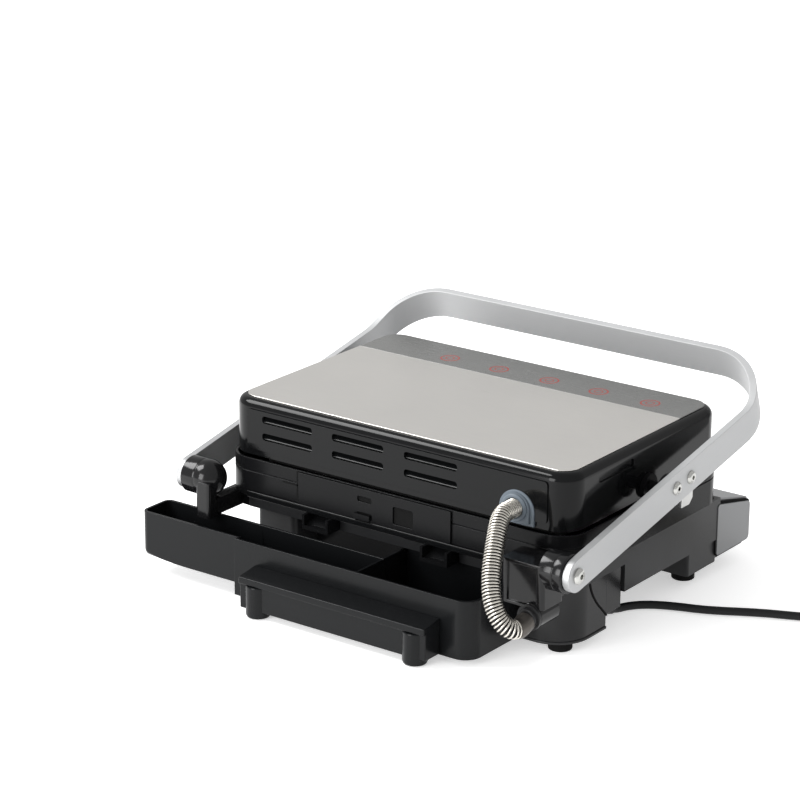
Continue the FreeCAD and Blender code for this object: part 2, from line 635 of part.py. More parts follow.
def rear_details():
    """Raised service cover, bright ledge, latch clip and the two fat chutes above the tray."""
    cover = new_body("rear_cover")
    back = d.base_back
    pad(cover, "XZ", back, back + 1.5, rect(-62, 96, 77, 103, 2))
    cut(cover, "XZ", back - 1, back + 2, rect(-21.6, -3.5, 93.4, 100.6, 1.5), rect(-21.6, -3.5, 79.3, 85.6, 1.5),
        rect(19, 34, 90, 92.5, 1))
    ledge = new_body("rear_ledge")
    pad(ledge, "XZ", back, back + 3, rect(-120, 148, d.base_low, 76, 1))
    clip = new_body("latch_clip")
    pad(clip, "XZ", back + 1.5, back + 4, rect(18, 35, 76.6, 81.4, 1))
    chutes = new_body("fat_chutes", True)
    for left in (57, -64):
        pad(chutes, "XY", d.beam_low + 0.5, d.base_low, rect(left, left + 27, d.under_back, back + 9))
        cut(chutes, "YZ", left + 2.5, left + 24.5,
            polygon((d.under_back + 2, d.base_low + 1), (d.under_back + 2, 66), (back + 5, 61),
                    (back + 10, 61), (back + 10, d.base_low + 1)))


# ---------------------------------------------------------------- handle

def kink_point(run):
    """Place on the handle's middle line, measured along its side from the pivot, and its lean."""
    rise, steep = math.radians(d.arm_rise.value), math.radians(d.bar_rise.value)
    half = d.kink_half.value
    start = d.arm_run.value - half
    share = min(max((run - start) / (2 * half), 0), 1)
    rate = (steep - rise) / (2 * half)
    straight = min(run, start)
    turned = share * 2 * half
    back = straight * math.cos(rise) + (math.sin(rise + rate * turned) - math.sin(rise)) / rate
    up = straight * math.sin(rise) + (math.cos(rise) - math.cos(rise + rate * turned)) / rate
    beyond = max(run - start - 2 * half, 0)
    back += beyond * math.cos(steep)
    up += beyond * math.sin(steep)
    lean = rise + share * (math.radians(d.bar_lean.value) - rise)
    return d.pivot_y.value - back, d.pivot_z.value + up, lean


def handle_line():
    """Points (x, run) on the bar's outer face from one pivot to the other."""
    reach, bend, out = d.bar_reach.value, d.bar_bend.value, d.arm_out.value
    line = [(out, run) for run in (0, 60, 120, 180, 230, 250, 258)]
    steps = 16
    for step in range(steps + 1):
        angle = step / steps * math.pi / 2
        line.append((out - bend + bend * math.cos(angle), reach - bend + bend * math.sin(angle)))
    line += [(across, reach) for across in (130, 110, 80, 40, 0)]
    return line + [(-across, run) for across, run in reversed(line[:-1])]


def handle_section(before, here, after):
    """Rectangular outline across the bar at one point of its line."""
    spots = []
    for across, run in (before, here, after):
        y, z, lean = kink_point(run)
        spots.append((FreeCAD.Vector(across, y, z), lean))
    middle, lean = spots[1]
    forward = spots[2][0] - spots[0][0]
    wide = FreeCAD.Vector(0, math.sin(lean), math.cos(lean)) * (d.arm_wide.value / 2)
    inward = forward.cross(wide).normalize() * d.arm_thick.value
    corners = [middle + wide, middle - wide, middle - wide + inward, middle + wide + inward]
    return Part.makePolygon(corners + corners[:1])


def handle_strap():
    """Flat bar bent to a wide U, its ends round about the pivots."""
    line = handle_line()
    padded = [line[0]] + line + [line[-1]]
    sections = [handle_section(padded[n], padded[n + 1], padded[n + 2]) for n in range(len(line))]
    strap = Part.makeLoft(sections, True, True)
    for sign in (1, -1):
        near = FreeCAD.Vector(sign * (d.arm_out - d.arm_thick).value, d.pivot_y.value, d.pivot_z.value)
        way = FreeCAD.Vector(sign, 0, 0)
        strap = strap.fuse(Part.makeCylinder(d.arm_wide.value / 2, d.arm_thick.value, near, way))
    for sign in (1, -1):
        near = FreeCAD.Vector(sign * (d.arm_out.value - 20), d.pivot_y.value, d.pivot_z.value)
        way = FreeCAD.Vector(sign, 0, 0)
        strap = strap.cut(Part.makeCylinder((d.pin_size + d.running_gap).value, 40, near, way))
    free_shape("handle_strap", strap.removeSplitter())


def lid_bracket(side_name, sign):
    """Plate and pin on the arm's inner face that carries the lid."""
    body = new_body(f"lid_bracket_{side_name}")
    inner_face = d.arm_out - d.arm_thick
    low, high = span(sign, inner_face - d.bracket_thick, inner_face)
    pad(body, "YZ", low, high, disc(d.float_y, d.float_z, d.bracket_size))
    pad(body, "YZ", low, high, rect(d.float_y - 6, d.float_y + 6, d.float_z - 19, d.float_z))
    pad(body, "YZ", low, high, polygon(
        (d.float_y, d.float_z + 12), (d.float_y, d.float_z - 12),
        (d.stop_near_y, d.float_z - 9), (d.stop_near_y - 2, d.stop_low_z),
        (d.stop_far_y + d.stop_cut, d.stop_low_z), (d.stop_far_y, d.stop_low_z + d.stop_cut),
        (d.stop_far_y, d.stop_top_z)))
    low, high = span(sign, d.lid_half - d.lid_wall - 4, inner_face - d.bracket_thick)
    pad(body, "YZ", low, high, disc(d.float_y, d.float_z, d.pin_size))


def arm_screws():
    body = new_body("arm_screws", True)
    spots = ((d.screw_near_y, d.screw_near_z), (d.screw_far_y, d.screw_far_z))
    heads = [disc(along, up, d.arm_screw_head) for along, up in spots]
    pad(body, "YZ", d.arm_out, d.arm_out + d.arm_screw_deep, *heads)
    pad(body, "YZ", -d.arm_out - d.arm_screw_deep, -d.arm_out, *heads)


def pivot_hardware():
    """Pins in the bosses and the socket-head screws on their ends."""
    pins = new_body("pivot_pins", True)
    hub = disc(d.pivot_y, d.pivot_z, d.pin_size)
    pad(pins, "YZ", d.post_inner + 6.5, d.arm_out + 0.3, hub)
    pad(pins, "YZ", -d.arm_out - 0.3, -d.housing_inner - 20.5, hub)
    screws = new_body("pivot_screws", True)
    head = disc(d.pivot_y, d.pivot_z, d.screw_head)
    socket = disc(d.pivot_y, d.pivot_z, 2)
    pad(screws, "YZ", d.arm_out + 0.3, d.arm_out + 0.3 + d.screw_deep, head)
    pad(screws, "YZ", -d.arm_out - 0.3 - d.screw_deep, -d.arm_out - 0.3, head)
    cut(screws, "YZ", d.arm_out + 1.5, d.arm_out + 5, socket)
    cut(screws, "YZ", -d.arm_out - 5, -d.arm_out - 1.5, socket)


# ---------------------------------------------------------------- drip tray

def drip_tray():
    """Two-part tray: a long compartment that ends in the grip, and a deeper one under the body."""
    body = new_body("drip_tray")
    pad(body, "XY", d.tray_low, d.tray_top,
        polygon((d.tray_right, d.tray_front_right), (d.tray_divide, d.tray_front_right),
                (d.tray_divide, d.tray_front_left), (d.tray_step, d.tray_front_left),
                (d.tray_step, d.tray_back), (d.tray_right, d.tray_back)))
    pad(body, "XY", d.tray_low_left, d.tray_top,
        rect(d.tray_step - 5, d.tray_left, d.tray_front_left, d.tray_back_left))
    ends = edges_where(body, ALONG_Z, lambda point: point.x > d.tray_left.value - 1)
    round_edges(body, ends, 7)
    wall = d.tray_wall
    cut(body, "XY", d.tray_low + wall, d.tray_top + 1,
        rect(d.tray_divide, d.tray_step - wall, d.tray_front_left + wall, d.tray_back - wall, 4),
        rect(d.tray_right + wall, d.tray_divide - wall, d.tray_front_right + wall, d.tray_back - wall, 4))
    cut(body, "XY", d.tray_low_left + wall, d.tray_top + 1,
        rect(d.tray_step - 12, d.tray_left - wall, d.tray_front_left + wall, d.tray_back_left - wall, 4))


def tray_ledge():
    """Ledge behind the tray's back wall, with a drop plate and two half-round feet."""
    body = new_body("tray_ledge")
    pad(body, "YZ", d.ledge_right, d.ledge_left,
        polygon((d.tray_back, d.ledge_low), (d.ledge_plate_y, d.ledge_low),
                (d.ledge_plate_y, d.ledge_outer_z - d.ledge_lip), (d.ledge_y, d.ledge_outer_z - d.ledge_lip),
                (d.ledge_y, d.ledge_outer_z), (d.tray_back, d.ledge_inner_z)))
    pad(body, "XY", d.tray_foot_low, d.tray_foot_top,
        disc(d.tray_foot_left, d.tray_foot_y, d.tray_foot_size),
        disc(d.tray_foot_right, d.tray_foot_y, d.tray_foot_size))
    cut(body, "XY", d.ledge_low - 1, d.ledge_outer_z - d.ledge_lip - 2,
        rect(d.tray_foot_right + 14, d.tray_foot_left - 14, d.tray_back + 2.5, d.ledge_plate_y - 2.5, 2))


# ---------------------------------------------------------------- conduit and cord

def rounded_route(points, bend=None):
    """Straight runs joined by tangent arcs, each as large as its two runs allow."""
    edges = []
    last = points[0]
    for before, corner, after in zip(points, points[1:], points[2:]):
        way_in, way_out = (corner - before), (after - corner)
        shorter = min(way_in.Length, way_out.Length)
        turn = way_in.getAngle(way_out)
        radius = bend or 0.45 * shorter / math.tan(turn / 2)
        reach = radius * math.tan(turn / 2)
        unit_in, unit_out = way_in / way_in.Length, way_out / way_out.Length
        start, end = corner - unit_in * reach, corner + unit_out * reach
        bisector = unit_out - unit_in
        bisector = bisector / bisector.Length
        middle = corner + bisector * (radius / math.cos(turn / 2) - radius)
        edges.append(Part.LineSegment(last, start).toShape())
        edges.append(Part.Arc(start, middle, end).toShape())
        if bend is None:
            print(f"  turn {math.degrees(turn):5.1f} deg, radius {radius:6.1f}, run {way_in.Length:5.1f}")
        last = end
    edges.append(Part.LineSegment(last, points[-1]).toShape())
    return Part.Wire(edges)


def tube(route, radius):
    first = route.Edges[0]
    start = first.valueAt(first.FirstParameter)
    way = first.tangentAt(first.FirstParameter)
    ring = Part.Wire([Part.Circle(start, way, radius).toShape()])
    solid = route.makePipeShell([ring], True, False)
    wanted = math.pi * radius ** 2 * route.Length
    print(f"  tube {route.Length:.1f} long, volume share {solid.Volume / wanted:.4f}")
    return solid


def vectors(points):
    return [FreeCAD.Vector(*point) for point in points]


# Corners of the conduit's route from the lid's grommet to the collar on the pivot housing.
CONDUIT_ROUTE = [(-123, 16.2, 120.6), (-124.5, 35, 121), (-133, 54, 106), (-139.5, 69, 88),
                 (-147, 80, 67), (-156, 83, 51), (-164, 78.5, 42.5), (-167, 68, 42), (-165.5, 57.6, 48)]
# Corners of the power cord's route along the table, from the gland to the stored coil.
CORD_ROUTE = [(-150, -92.6, 6.2), (-150.2, -99.8, 3.5), (-154, -111, 3.5), (-164.5, -123.5, 3.5),
              (-184, -134, 3.5), (-212, -143, 3.5), (-249, -165, 3.5), (-281, -178, 3.5),
              (-306, -191, 3.5), (-330, -200.5, 3.5)]
# Corners of the cord's short end, from the top of the coil to the plug.
TAIL_ROUTE = [(-299, -278.2, 9.6), (-292, -279.6, 11), (-285, -282, 13)]


def conduit():
    """Wound steel hose with the lid's leads in it, as one bar of its outer size."""
    free_shape("conduit", tube(rounded_route(vectors(CONDUIT_ROUTE)), d.conduit_size.value))


def power_cord():
    """Mains cord on the table, its stored coil, tie and plug."""
    print("power cord")
    free_shape("power_cord", tube(rounded_route(vectors(CORD_ROUTE)), d.cord_size.value))
    coil = new_body("cord_coil")
    pad(coil, "XY", 0, d.coil_tall, disc(d.coil_x, d.coil_y, d.coil_outer),
        disc(d.coil_x, d.coil_y, d.coil_inner))
    print("cord tail")
    free_shape("cord_tail", tube(rounded_route(vectors(TAIL_ROUTE)), d.cord_size.value))
    tie = new_body("cord_tie")
    near, far = d.coil_x + d.coil_inner, d.coil_x + d.coil_outer
    pad(tie, "XZ", d.coil_y - d.tie_half, d.coil_y + d.tie_half,
        polygon((near - 1.2, 0), (near, 0), (near, d.coil_tall), (far, d.coil_tall), (far, 0),
                (far + 1.2, 0), (far + 1.2, d.coil_tall + 1.2), (near - 1.2, d.coil_tall + 1.2)))


def cord_gland():
    """Tapered strain relief, dipping from the column's front wall to the table."""
    cone = document.addObject("Part::Cone", "cord_gland")
    for name, length in (("Radius1", d.gland_base), ("Radius2", d.gland_tip), ("Height", d.gland_long)):
        setattr(cone, name, length.value)
        bind(cone, name, length)
    place(cone, "cord_gland")
    cone.Placement.Rotation = FreeCAD.Rotation(ALONG_X, 90 + d.gland_dip.value)
    for axis, length in (("x", d.gland_x - frame_x), ("y", d.arch_back - frame_y), ("z", d.gland_z)):
        bind(cone, f"Placement.Base.{axis}", length)


def power_plug():
    """Moulded mains plug lying on the table, with its two pins."""
    body = new_body("power_plug")
    face = d.plug_back + d.plug_long
    pad(body, "YZ", d.plug_back, d.plug_back + d.plug_neck, disc(d.plug_y, d.plug_size, d.cord_size + 2))
    pad(body, "YZ", d.plug_back + d.plug_neck, face, disc(d.plug_y, d.plug_size, d.plug_size))
    pins = new_body("plug_pins", True)
    pad(pins, "YZ", face, face + d.plug_pin_long,
        disc(d.plug_y - d.plug_pin_half, d.plug_size, d.plug_pin),
        disc(d.plug_y + d.plug_pin_half, d.plug_size, d.plug_pin))


lid_casing()
lid_plates()
lid_inside()
grommet()
both_sides(lid_bush)
base_shell()
base_underside()
rear_column()
left_leg()
front_skirt()
rubber_feet()
front_nose()
both_sides(side_plate)
both_sides(pilot_lamp)
thermostat_knob()
left_post()
right_post()
conduit_collar()
base_inside()
rear_details()
handle_strap()
both_sides(lid_bracket)
arm_screws()
pivot_hardware()
drip_tray()
tray_ledge()
conduit()
cord_gland()
power_cord()
power_plug()

document.recompute()
for item in document.Objects:
    if "Invalid" in item.State or "Error" in item.State:
        raise ValueError(f"{item.Label} failed: {item.State}")
os.makedirs("parts", exist_ok=True)
for item in PARTS:
    if item.Shape.isNull() or not item.Shape.isValid():
        raise ValueError(f"{item.Label} has a bad shape")
    item.Shape.exportStep(f"parts/{item.Label}.step")
    box = item.Shape.optimalBoundingBox()
    print(f"{item.Label:22s} {len(item.Shape.Solids)} solid, {item.Shape.Volume / 1000:8.1f} cm3, "
          f"x {box.XMin:.1f}..{box.XMax:.1f} y {box.YMin:.1f}..{box.YMax:.1f} z {box.ZMin:.1f}..{box.ZMax:.1f}")
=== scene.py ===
# %% [markdown]
# # A contact grill with a floating lid
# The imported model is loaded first, as a fixed frame: every piece made here sits where the frame
# says, in metres.

# %% Load the frame
import json
import math

import bmesh
import bpy
from mathutils import Matrix, Vector


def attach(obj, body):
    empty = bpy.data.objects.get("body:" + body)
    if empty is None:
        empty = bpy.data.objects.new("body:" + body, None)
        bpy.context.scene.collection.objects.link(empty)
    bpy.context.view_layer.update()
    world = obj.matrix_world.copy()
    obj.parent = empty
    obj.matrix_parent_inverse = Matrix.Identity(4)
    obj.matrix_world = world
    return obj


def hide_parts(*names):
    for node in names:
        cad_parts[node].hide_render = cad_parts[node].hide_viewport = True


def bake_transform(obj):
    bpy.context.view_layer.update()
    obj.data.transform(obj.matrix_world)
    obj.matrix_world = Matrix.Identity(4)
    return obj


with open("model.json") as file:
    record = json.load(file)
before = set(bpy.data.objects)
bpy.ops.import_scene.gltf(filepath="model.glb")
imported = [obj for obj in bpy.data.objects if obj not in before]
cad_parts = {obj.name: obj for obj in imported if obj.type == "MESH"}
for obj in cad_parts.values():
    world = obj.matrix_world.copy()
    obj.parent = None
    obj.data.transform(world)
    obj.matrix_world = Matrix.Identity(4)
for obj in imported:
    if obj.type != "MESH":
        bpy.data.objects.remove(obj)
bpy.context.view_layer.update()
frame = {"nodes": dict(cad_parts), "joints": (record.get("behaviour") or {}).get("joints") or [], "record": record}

# %% [markdown]
# ## Places
# A maker measures a grill from its own back edge, in millimetres, so pieces are drawn that way:
# X towards the tray's grip, Y backwards, Z up from the table. The handle's hinge is in the frame
# as a joint, and its place in the maker's numbers is known as well. The step from one to the
# other follows from that, so it needn't be typed in and can't go stale.

# %% From the maker's millimetres to the frame
pivot_y, pivot_z = 34.6, 87.3
hinge = next(joint for joint in frame["joints"] if joint["name"] == "handle_hinge")
origin = Vector(hinge["pos_m"]) - Vector((0, pivot_y, pivot_z)) / 1000
to_frame = Matrix.Translation(origin) @ Matrix.Scale(0.001, 4)
scene = bpy.context.scene
scene.view_settings.view_transform = "Standard"


def at(x, y, z):
    return to_frame @ Vector((x, y, z))


print("the hinge is at", at(0, pivot_y, pivot_z))

# %% [markdown]
# ## Camera
# A long lens from behind and above the tray's far corner. A camera could be aimed with a Track To
# constraint, but that keeps it level. Here the direction is given by the view's own right and
# ahead, so the grill stands a little off level, as a hand-held camera sees it.

# %% Camera
lens_mm, stand = 132.4, (-1332.4, 1822.4, 935.7)
right = Vector((-0.8064, -0.5914, 0.0055)).normalized()
ahead = Vector((0.5595, -0.7659, -0.3168)).normalized()
up = right.cross(ahead).normalized()
turn = Matrix((right, up, -ahead)).transposed().to_4x4()
camera = bpy.data.objects.new("camera", bpy.data.cameras.new("camera"))
camera.data.lens = lens_mm
camera.matrix_world = Matrix.Translation(at(*stand)) @ turn
scene.collection.objects.link(camera)
scene.camera = camera
print("camera at", camera.location)

# %% [markdown]
# ## Finishes as sums
# A finish is a small tree of nodes. It could be wired node by node, but then the sum that it works
# out is hard to see. Here a socket is wrapped, and each operator adds the Math node it stands for.


# %% A socket that can be added and multiplied
class Level:
    """One number that changes over a surface."""

    def __init__(self, finish, socket):
        self.finish, self.socket = finish, socket

    def math(self, operation, first, second=0.0):
        return self.finish.node("ShaderNodeMath", {"operation": operation}, {0: first, 1: second})

    def at_least(self, floor_value):
        return self.math("MAXIMUM", self, floor_value)

    def __add__(self, other):
        return self.math("ADD", self, other)

    def __sub__(self, other):
        return self.math("SUBTRACT", self, other)

    def __rsub__(self, other):
        return self.math("SUBTRACT", other, self)

    def __mul__(self, other):
        return self.math("MULTIPLY", self, other)

    def __abs__(self):
        return self.math("ABSOLUTE", self)

    def __lt__(self, other):
        return self.math("LESS_THAN", self, other)

    __radd__ = __add__
    __rmul__ = __mul__


# %% A finish and its one way of making nodes
class Finish:
    """A material, its Principled shader, and the nodes that feed it."""

    def __init__(self, name, colour, roughness, metallic=0.0, coat=0.0, **extra):
        self.material = bpy.data.materials.new(name)
        self.material.use_nodes = True
        self.tree = self.material.node_tree
        self.shader = self.tree.nodes["Principled BSDF"]
        self.colour = (*colour, 1.0)
        values = {"Base Color": self.colour, "Roughness": roughness, "Metallic": metallic,
                  "Coat Weight": coat, **extra}
        for socket, value in values.items():
            self.shader.inputs[socket].default_value = value
        self.material.diffuse_color = self.colour

    def fill(self, new, sockets):
        """Give each socket of a node its value, or the link of a wrapped socket."""
        for socket, value in sockets.items():
            if isinstance(value, Level):
                self.tree.links.new(value.socket, new.inputs[socket])
            else:
                new.inputs[socket].default_value = value

    def node(self, kind, settings=None, sockets=None, output=0):
        new = self.tree.nodes.new(kind)
        for setting, value in (settings or {}).items():
            setattr(new, setting, value)
        self.fill(new, sockets or {})
        return Level(self, new.outputs[output])

    def feed(self, socket, value):
        self.fill(self.shader, {socket: value})

    def place(self, scale=(1, 1, 1), shift=(0, 0, 0), source="Object"):
        """Coordinates on the piece, moved by shift, then scaled."""
        where = self.node("ShaderNodeTexCoord", output=source)
        where = self.node("ShaderNodeVectorMath", {"operation": "ADD"}, {0: where, 1: shift})
        return self.node("ShaderNodeMapping", None, {"Vector": where, "Scale": scale})

    def noise(self, scale, stretch=(1, 1, 1), detail=3.0, source="Object"):
        return self.node("ShaderNodeTexNoise", None, {
            "Vector": self.place(stretch, source=source), "Scale": scale, "Detail": detail,
            "Roughness": 0.55})

    def mix(self, share, low, high):
        """Blend of two colours, each a colour or a wrapped socket."""
        return self.node("ShaderNodeMix", {"data_type": "RGBA"}, {0: share, 6: low, 7: high},
                         output=2)

    def bump(self, height, strength, distance):
        self.feed("Normal", self.node("ShaderNodeBump", None, {
            "Height": height, "Strength": strength, "Distance": distance}))

    def shade(self, share, darkest, lightest):
        """Base colour that runs between two multiples of the finish's own."""
        low, high = ((*(channel * factor for channel in self.colour[:3]), 1.0)
                     for factor in (darkest, lightest))
        self.feed("Base Color", self.mix(share, low, high))


finishes = {}
print("finish helpers ready")

# %% [markdown]
# ### Glossy and satin mouldings
# The lid is moulded in a polished tool, so it is near black and mirror-like, with the faint
# unevenness that a thin wall has. The lower body comes from a spark-eroded tool: a fine grain
# breaks up its reflection. Both collect dust, so their roughness wanders a little. Black plastic
# could be made grey to show its form. Here it stays black, and gleam, the strength of its plain
# reflection, says how much of the room it gives back.

# %% Moulded plastics
dust_scale, tone_scale, grain_depth, coat_roughness = 38, 14, 0.0002, 0.06


def moulded(name, colour, roughness, grain_scale, grain, coat=0.0, wander=0.05, gleam=0.2):
    finish = Finish(name, colour, roughness, coat=coat, **{"Specular IOR Level": gleam})
    finish.shader.inputs["Coat Roughness"].default_value = coat_roughness
    dust = finish.noise(dust_scale, detail=4.0)
    finish.feed("Roughness", (dust - 0.5) * (2 * wander) + roughness)
    finish.shade(finish.noise(tone_scale), darkest=0.86, lightest=1.16)
    finish.bump(finish.noise(grain_scale, detail=2.0), grain, grain_depth)
    finishes[name] = finish.material


moulded("gloss_black", (0.0036, 0.0038, 0.0041), 0.11, 55, 0.05, wander=0.03, gleam=0.165)
moulded("base_black", (0.0048, 0.0049, 0.0053), 0.22, 1500, 0.09, gleam=0.11)
moulded("lower_black", (0.014, 0.0143, 0.0152), 0.34, 1500, 0.18, gleam=0.26)
moulded("boss_black", (0.006, 0.006, 0.0065), 0.14, 1200, 0.05, wander=0.03, gleam=0.28)
moulded("tray_black", (0.0052, 0.0056, 0.0061), 0.22, 1300, 0.12, gleam=0.15)
moulded("knob_black", (0.02, 0.02, 0.021), 0.4, 1200, 0.25)
moulded("collar_black", (0.02, 0.02, 0.021), 0.35, 1200, 0.2)
moulded("inner_plastic", (0.35, 0.33, 0.28), 0.55, 900, 0.25, gleam=0.5)
moulded("grommet_grey", (0.115, 0.137, 0.16), 0.42, 900, 0.2)
moulded("bush", (0.006, 0.006, 0.0065), 0.4, 900, 0.2, gleam=0.08)
moulded("foot_rubber", (0.005, 0.005, 0.005), 0.78, 700, 0.5, gleam=0.1)
moulded("cord_black", (0.0095, 0.0095, 0.0102), 0.46, 900, 0.3)
moulded("tie_black", (0.02, 0.02, 0.02), 0.4, 900, 0.3)
moulded("lamp", (0.45, 0.02, 0.01), 0.12, 300, 0.05, coat=0.6, gleam=0.5)
print(len(finishes), "mouldings")

# %% [markdown]
# ### Metals
# The top plate is sheet steel brushed across the lid, so its lines run along X: noise squeezed
# hard along the other two axes makes them, in roughness, in bump and, faintly, in colour.

# %% Brushed and plated metals
streak_scale, cloud_scale, streak_bump, streak_depth = 60, 9, 0.12, 0.0001


def brushed(name, colour, roughness, lines, source="Object", metallic=1.0):
    finish = Finish(name, colour, roughness, metallic=metallic)
    streaks = finish.noise(streak_scale, lines, detail=5.0, source=source)
    cloud = finish.noise(cloud_scale)
    finish.feed("Roughness", (streaks - 0.5) * 0.22 + (cloud - 0.5) * 0.1 + roughness)
    finish.shade(streaks * 0.7 + cloud * 0.3, darkest=0.86, lightest=1.1)
    finish.bump(streaks, streak_bump, streak_depth)
    finishes[name] = finish.material
    return finish


brushed("brushed_steel", (0.735, 0.717, 0.685), 0.34, (0.6, 40, 40))
brushed("front_steel", (0.2, 0.203, 0.207), 0.4, (40, 0.8, 40))
brushed("bracket_steel", (0.55, 0.55, 0.54), 0.35, (1, 30, 30))
brushed("screw_steel", (0.52, 0.52, 0.5), 0.24, (14, 14, 14))
brushed("conduit_steel", (0.6, 0.575, 0.525), 0.27, (16, 16, 16))
brushed("cast_plate", (0.045, 0.045, 0.047), 0.5, (20, 20, 20), metallic=0.3)
brushed("heater_sheath", (0.12, 0.11, 0.10), 0.45, (12, 12, 12))
brushed("reflector_sheet", (0.55, 0.55, 0.54), 0.32, (1, 30, 30))
brushed("inner_steel", (0.5, 0.5, 0.49), 0.35, (14, 14, 14))
brushed("pin_brass", (0.62, 0.52, 0.30), 0.3, (14, 14, 14))
print(len(finishes), "finishes")

# %% [markdown]
# ### The handle's satin steel
# The handle is brushed along its length, round its bends, so its lines follow the strap's own map
# instead of an axis. The map runs along the bar in metres. The crossbar is a dull satin, and the
# arms get more polished towards their pivots: with the distance from the bar's middle the metal
# share rises from that of the satin.

# %% Handle steel
bar_middle, polish_from, polish_rate, satin_metal = 0.5125, 0.3, 4, 0.25
handle_steel = brushed("handle_steel", (0.46, 0.465, 0.47), 0.46, (0.8, 40, 40), source="UV")
along_bar = handle_steel.node("ShaderNodeSeparateXYZ", None,
                              {0: handle_steel.place(source="UV")})
from_middle = abs(along_bar - bar_middle)
handle_steel.feed("Metallic", ((from_middle - polish_from) * polish_rate).at_least(satin_metal))
print("arms polished from", polish_from, "m off the bar's middle")

# %% [markdown]
# ### The printed strip
# The strip over the lid's front is steel under a dark lacquer, printed with five red marks. They
# carry no sign here, so each is two plain rings, one in the other. They could be thin meshes, but
# print has no thickness. A ring is a band of distance from its centre, and all are added into one
# mask.

# %% Red rings
ring_row_y, ring_red = -185, (0.42, 0.02, 0.012, 1)
outer_ring, outer_line, inner_ring, inner_line = 0.0079, 0.0007, 0.0036, 0.0005
strip = brushed("printed_strip", (0.183, 0.184, 0.179), 0.3, (0.6, 40, 40), metallic=0.5)
steel_colour = strip.shader.inputs["Base Color"].links[0].from_socket
rings = None
for across in (80, 28, -24, -74, -125):
    centre = at(across, ring_row_y, 155)
    offset = strip.place(shift=(-centre.x, -centre.y, -centre.z))
    away = strip.node("ShaderNodeVectorMath", {"operation": "LENGTH"}, {0: offset},
                      output="Value")
    ring = (abs(away - outer_ring) < outer_line) + (abs(away - inner_ring) < inner_line)
    rings = ring if rings is None else rings + ring
strip.feed("Base Color", strip.mix(rings, Level(strip, steel_colour), ring_red))
print("rings printed")

# %% [markdown]
# ## Making a piece
# Most pieces start as a block, lose or gain walls, and have their edges rounded. Edges could be
# picked by their number, but a number changes with every edit. Here they are picked by the
# direction they run in and by where they are.


# %% Blocks and edges
def block(x, y, z):
    """A box between the two ends given on each axis, in the maker's millimetres."""
    bm = bmesh.new()
    bmesh.ops.create_cube(bm, size=1)
    bmesh.ops.scale(bm, vec=Vector([high - low for low, high in (x, y, z)]), verts=bm.verts)
    bmesh.ops.translate(bm, vec=Vector([(low + high) / 2 for low, high in (x, y, z)]),
                        verts=bm.verts)
    return bm


def middle(element):
    return sum((vert.co for vert in element.verts), Vector()) / len(element.verts)


def unit(axis):
    return Vector([1.0 if n == axis else 0.0 for n in range(3)])


def edges_along(bm, axis, where=lambda point: True):
    """Edges that run along one axis (0, 1 or 2) and whose middle passes the test."""
    found = []
    for edge in bm.edges:
        run = (edge.verts[0].co - edge.verts[1].co).normalized()
        if abs(run[axis]) > 0.99 and where(middle(edge)):
            found.append(edge)
    return found


def in_level(elements, axis, level):
    """Edges or faces whose corners all lie in a level of an axis."""
    return [element for element in elements
            if all(abs(vert.co[axis] - level) < 0.001 for vert in element.verts)]


def round_off(bm, edges, radius, segments=6):
    bmesh.ops.bevel(bm, geom=edges, offset=radius, offset_type="OFFSET", segments=segments,
                    profile=0.5, affect="EDGES", material=-1, clamp_overlap=True)


def open_up(bm, faces):
    bmesh.ops.delete(bm, geom=faces, context="FACES_ONLY")


def each_once(elements):
    """A list without repeats that keeps its order, so that every run builds the same mesh."""
    return list(dict.fromkeys(elements))


print("a block has", len(block((0, 1), (0, 1), (0, 1)).verts), "corners")

# %% [markdown]
# A finished shape is brought from millimetres to the frame in its mesh, so its object stays at the
# origin. The wall and the small rounding are modifiers, because they come last on the real mould
# as well, and the shape under them stays simple.

# %% From a bmesh to a finished piece
weld, soft_cuts, soft_angle = 1e-3, 2, math.radians(32)


def finish_piece(name, bm, body, finish, stands_for=(), wall=0.0, soften=0.0, sharp=38,
                 outward=True):
    """Put a shape in the frame. A wall grows inwards, and softened edges catch the light."""
    bmesh.ops.remove_doubles(bm, verts=bm.verts, dist=weld)
    if outward:
        bmesh.ops.recalc_face_normals(bm, faces=bm.faces)
    bmesh.ops.transform(bm, matrix=to_frame, verts=bm.verts)
    for face in bm.faces:
        face.smooth = True
    if not soften:
        for edge in bm.edges:
            if len(edge.link_faces) == 2:
                edge.smooth = edge.calc_face_angle() < math.radians(sharp)
    mesh = bpy.data.meshes.new(name)
    bm.to_mesh(mesh)
    bm.free()
    piece = bpy.data.objects.new(name, mesh)
    scene.collection.objects.link(piece)
    mesh.materials.append(finishes[finish])
    if wall:
        solid = piece.modifiers.new("wall", "SOLIDIFY")
        solid.thickness, solid.offset, solid.use_even_offset = wall / 1000, -1, True
    if soften:
        edge = piece.modifiers.new("edges", "BEVEL")
        edge.width, edge.segments, edge.limit_method = soften / 1000, soft_cuts, "ANGLE"
        edge.angle_limit, edge.use_clamp_overlap = soft_angle, True
    weigh = piece.modifiers.new("shading", "WEIGHTED_NORMAL")
    weigh.keep_sharp = True
    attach(piece, body)
    if stands_for:
        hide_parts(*stands_for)
    print(f"{name}: {len(mesh.polygons)} faces")


# %% [markdown]
# ## Stage
# A pale floor runs past the view on every side, and glows a little, so that the shadows on it stay
# light. Two large soft lights and a bright surround give the even light of a product table. They
# stand where the black mouldings' rounded edges send a line of light to the camera.

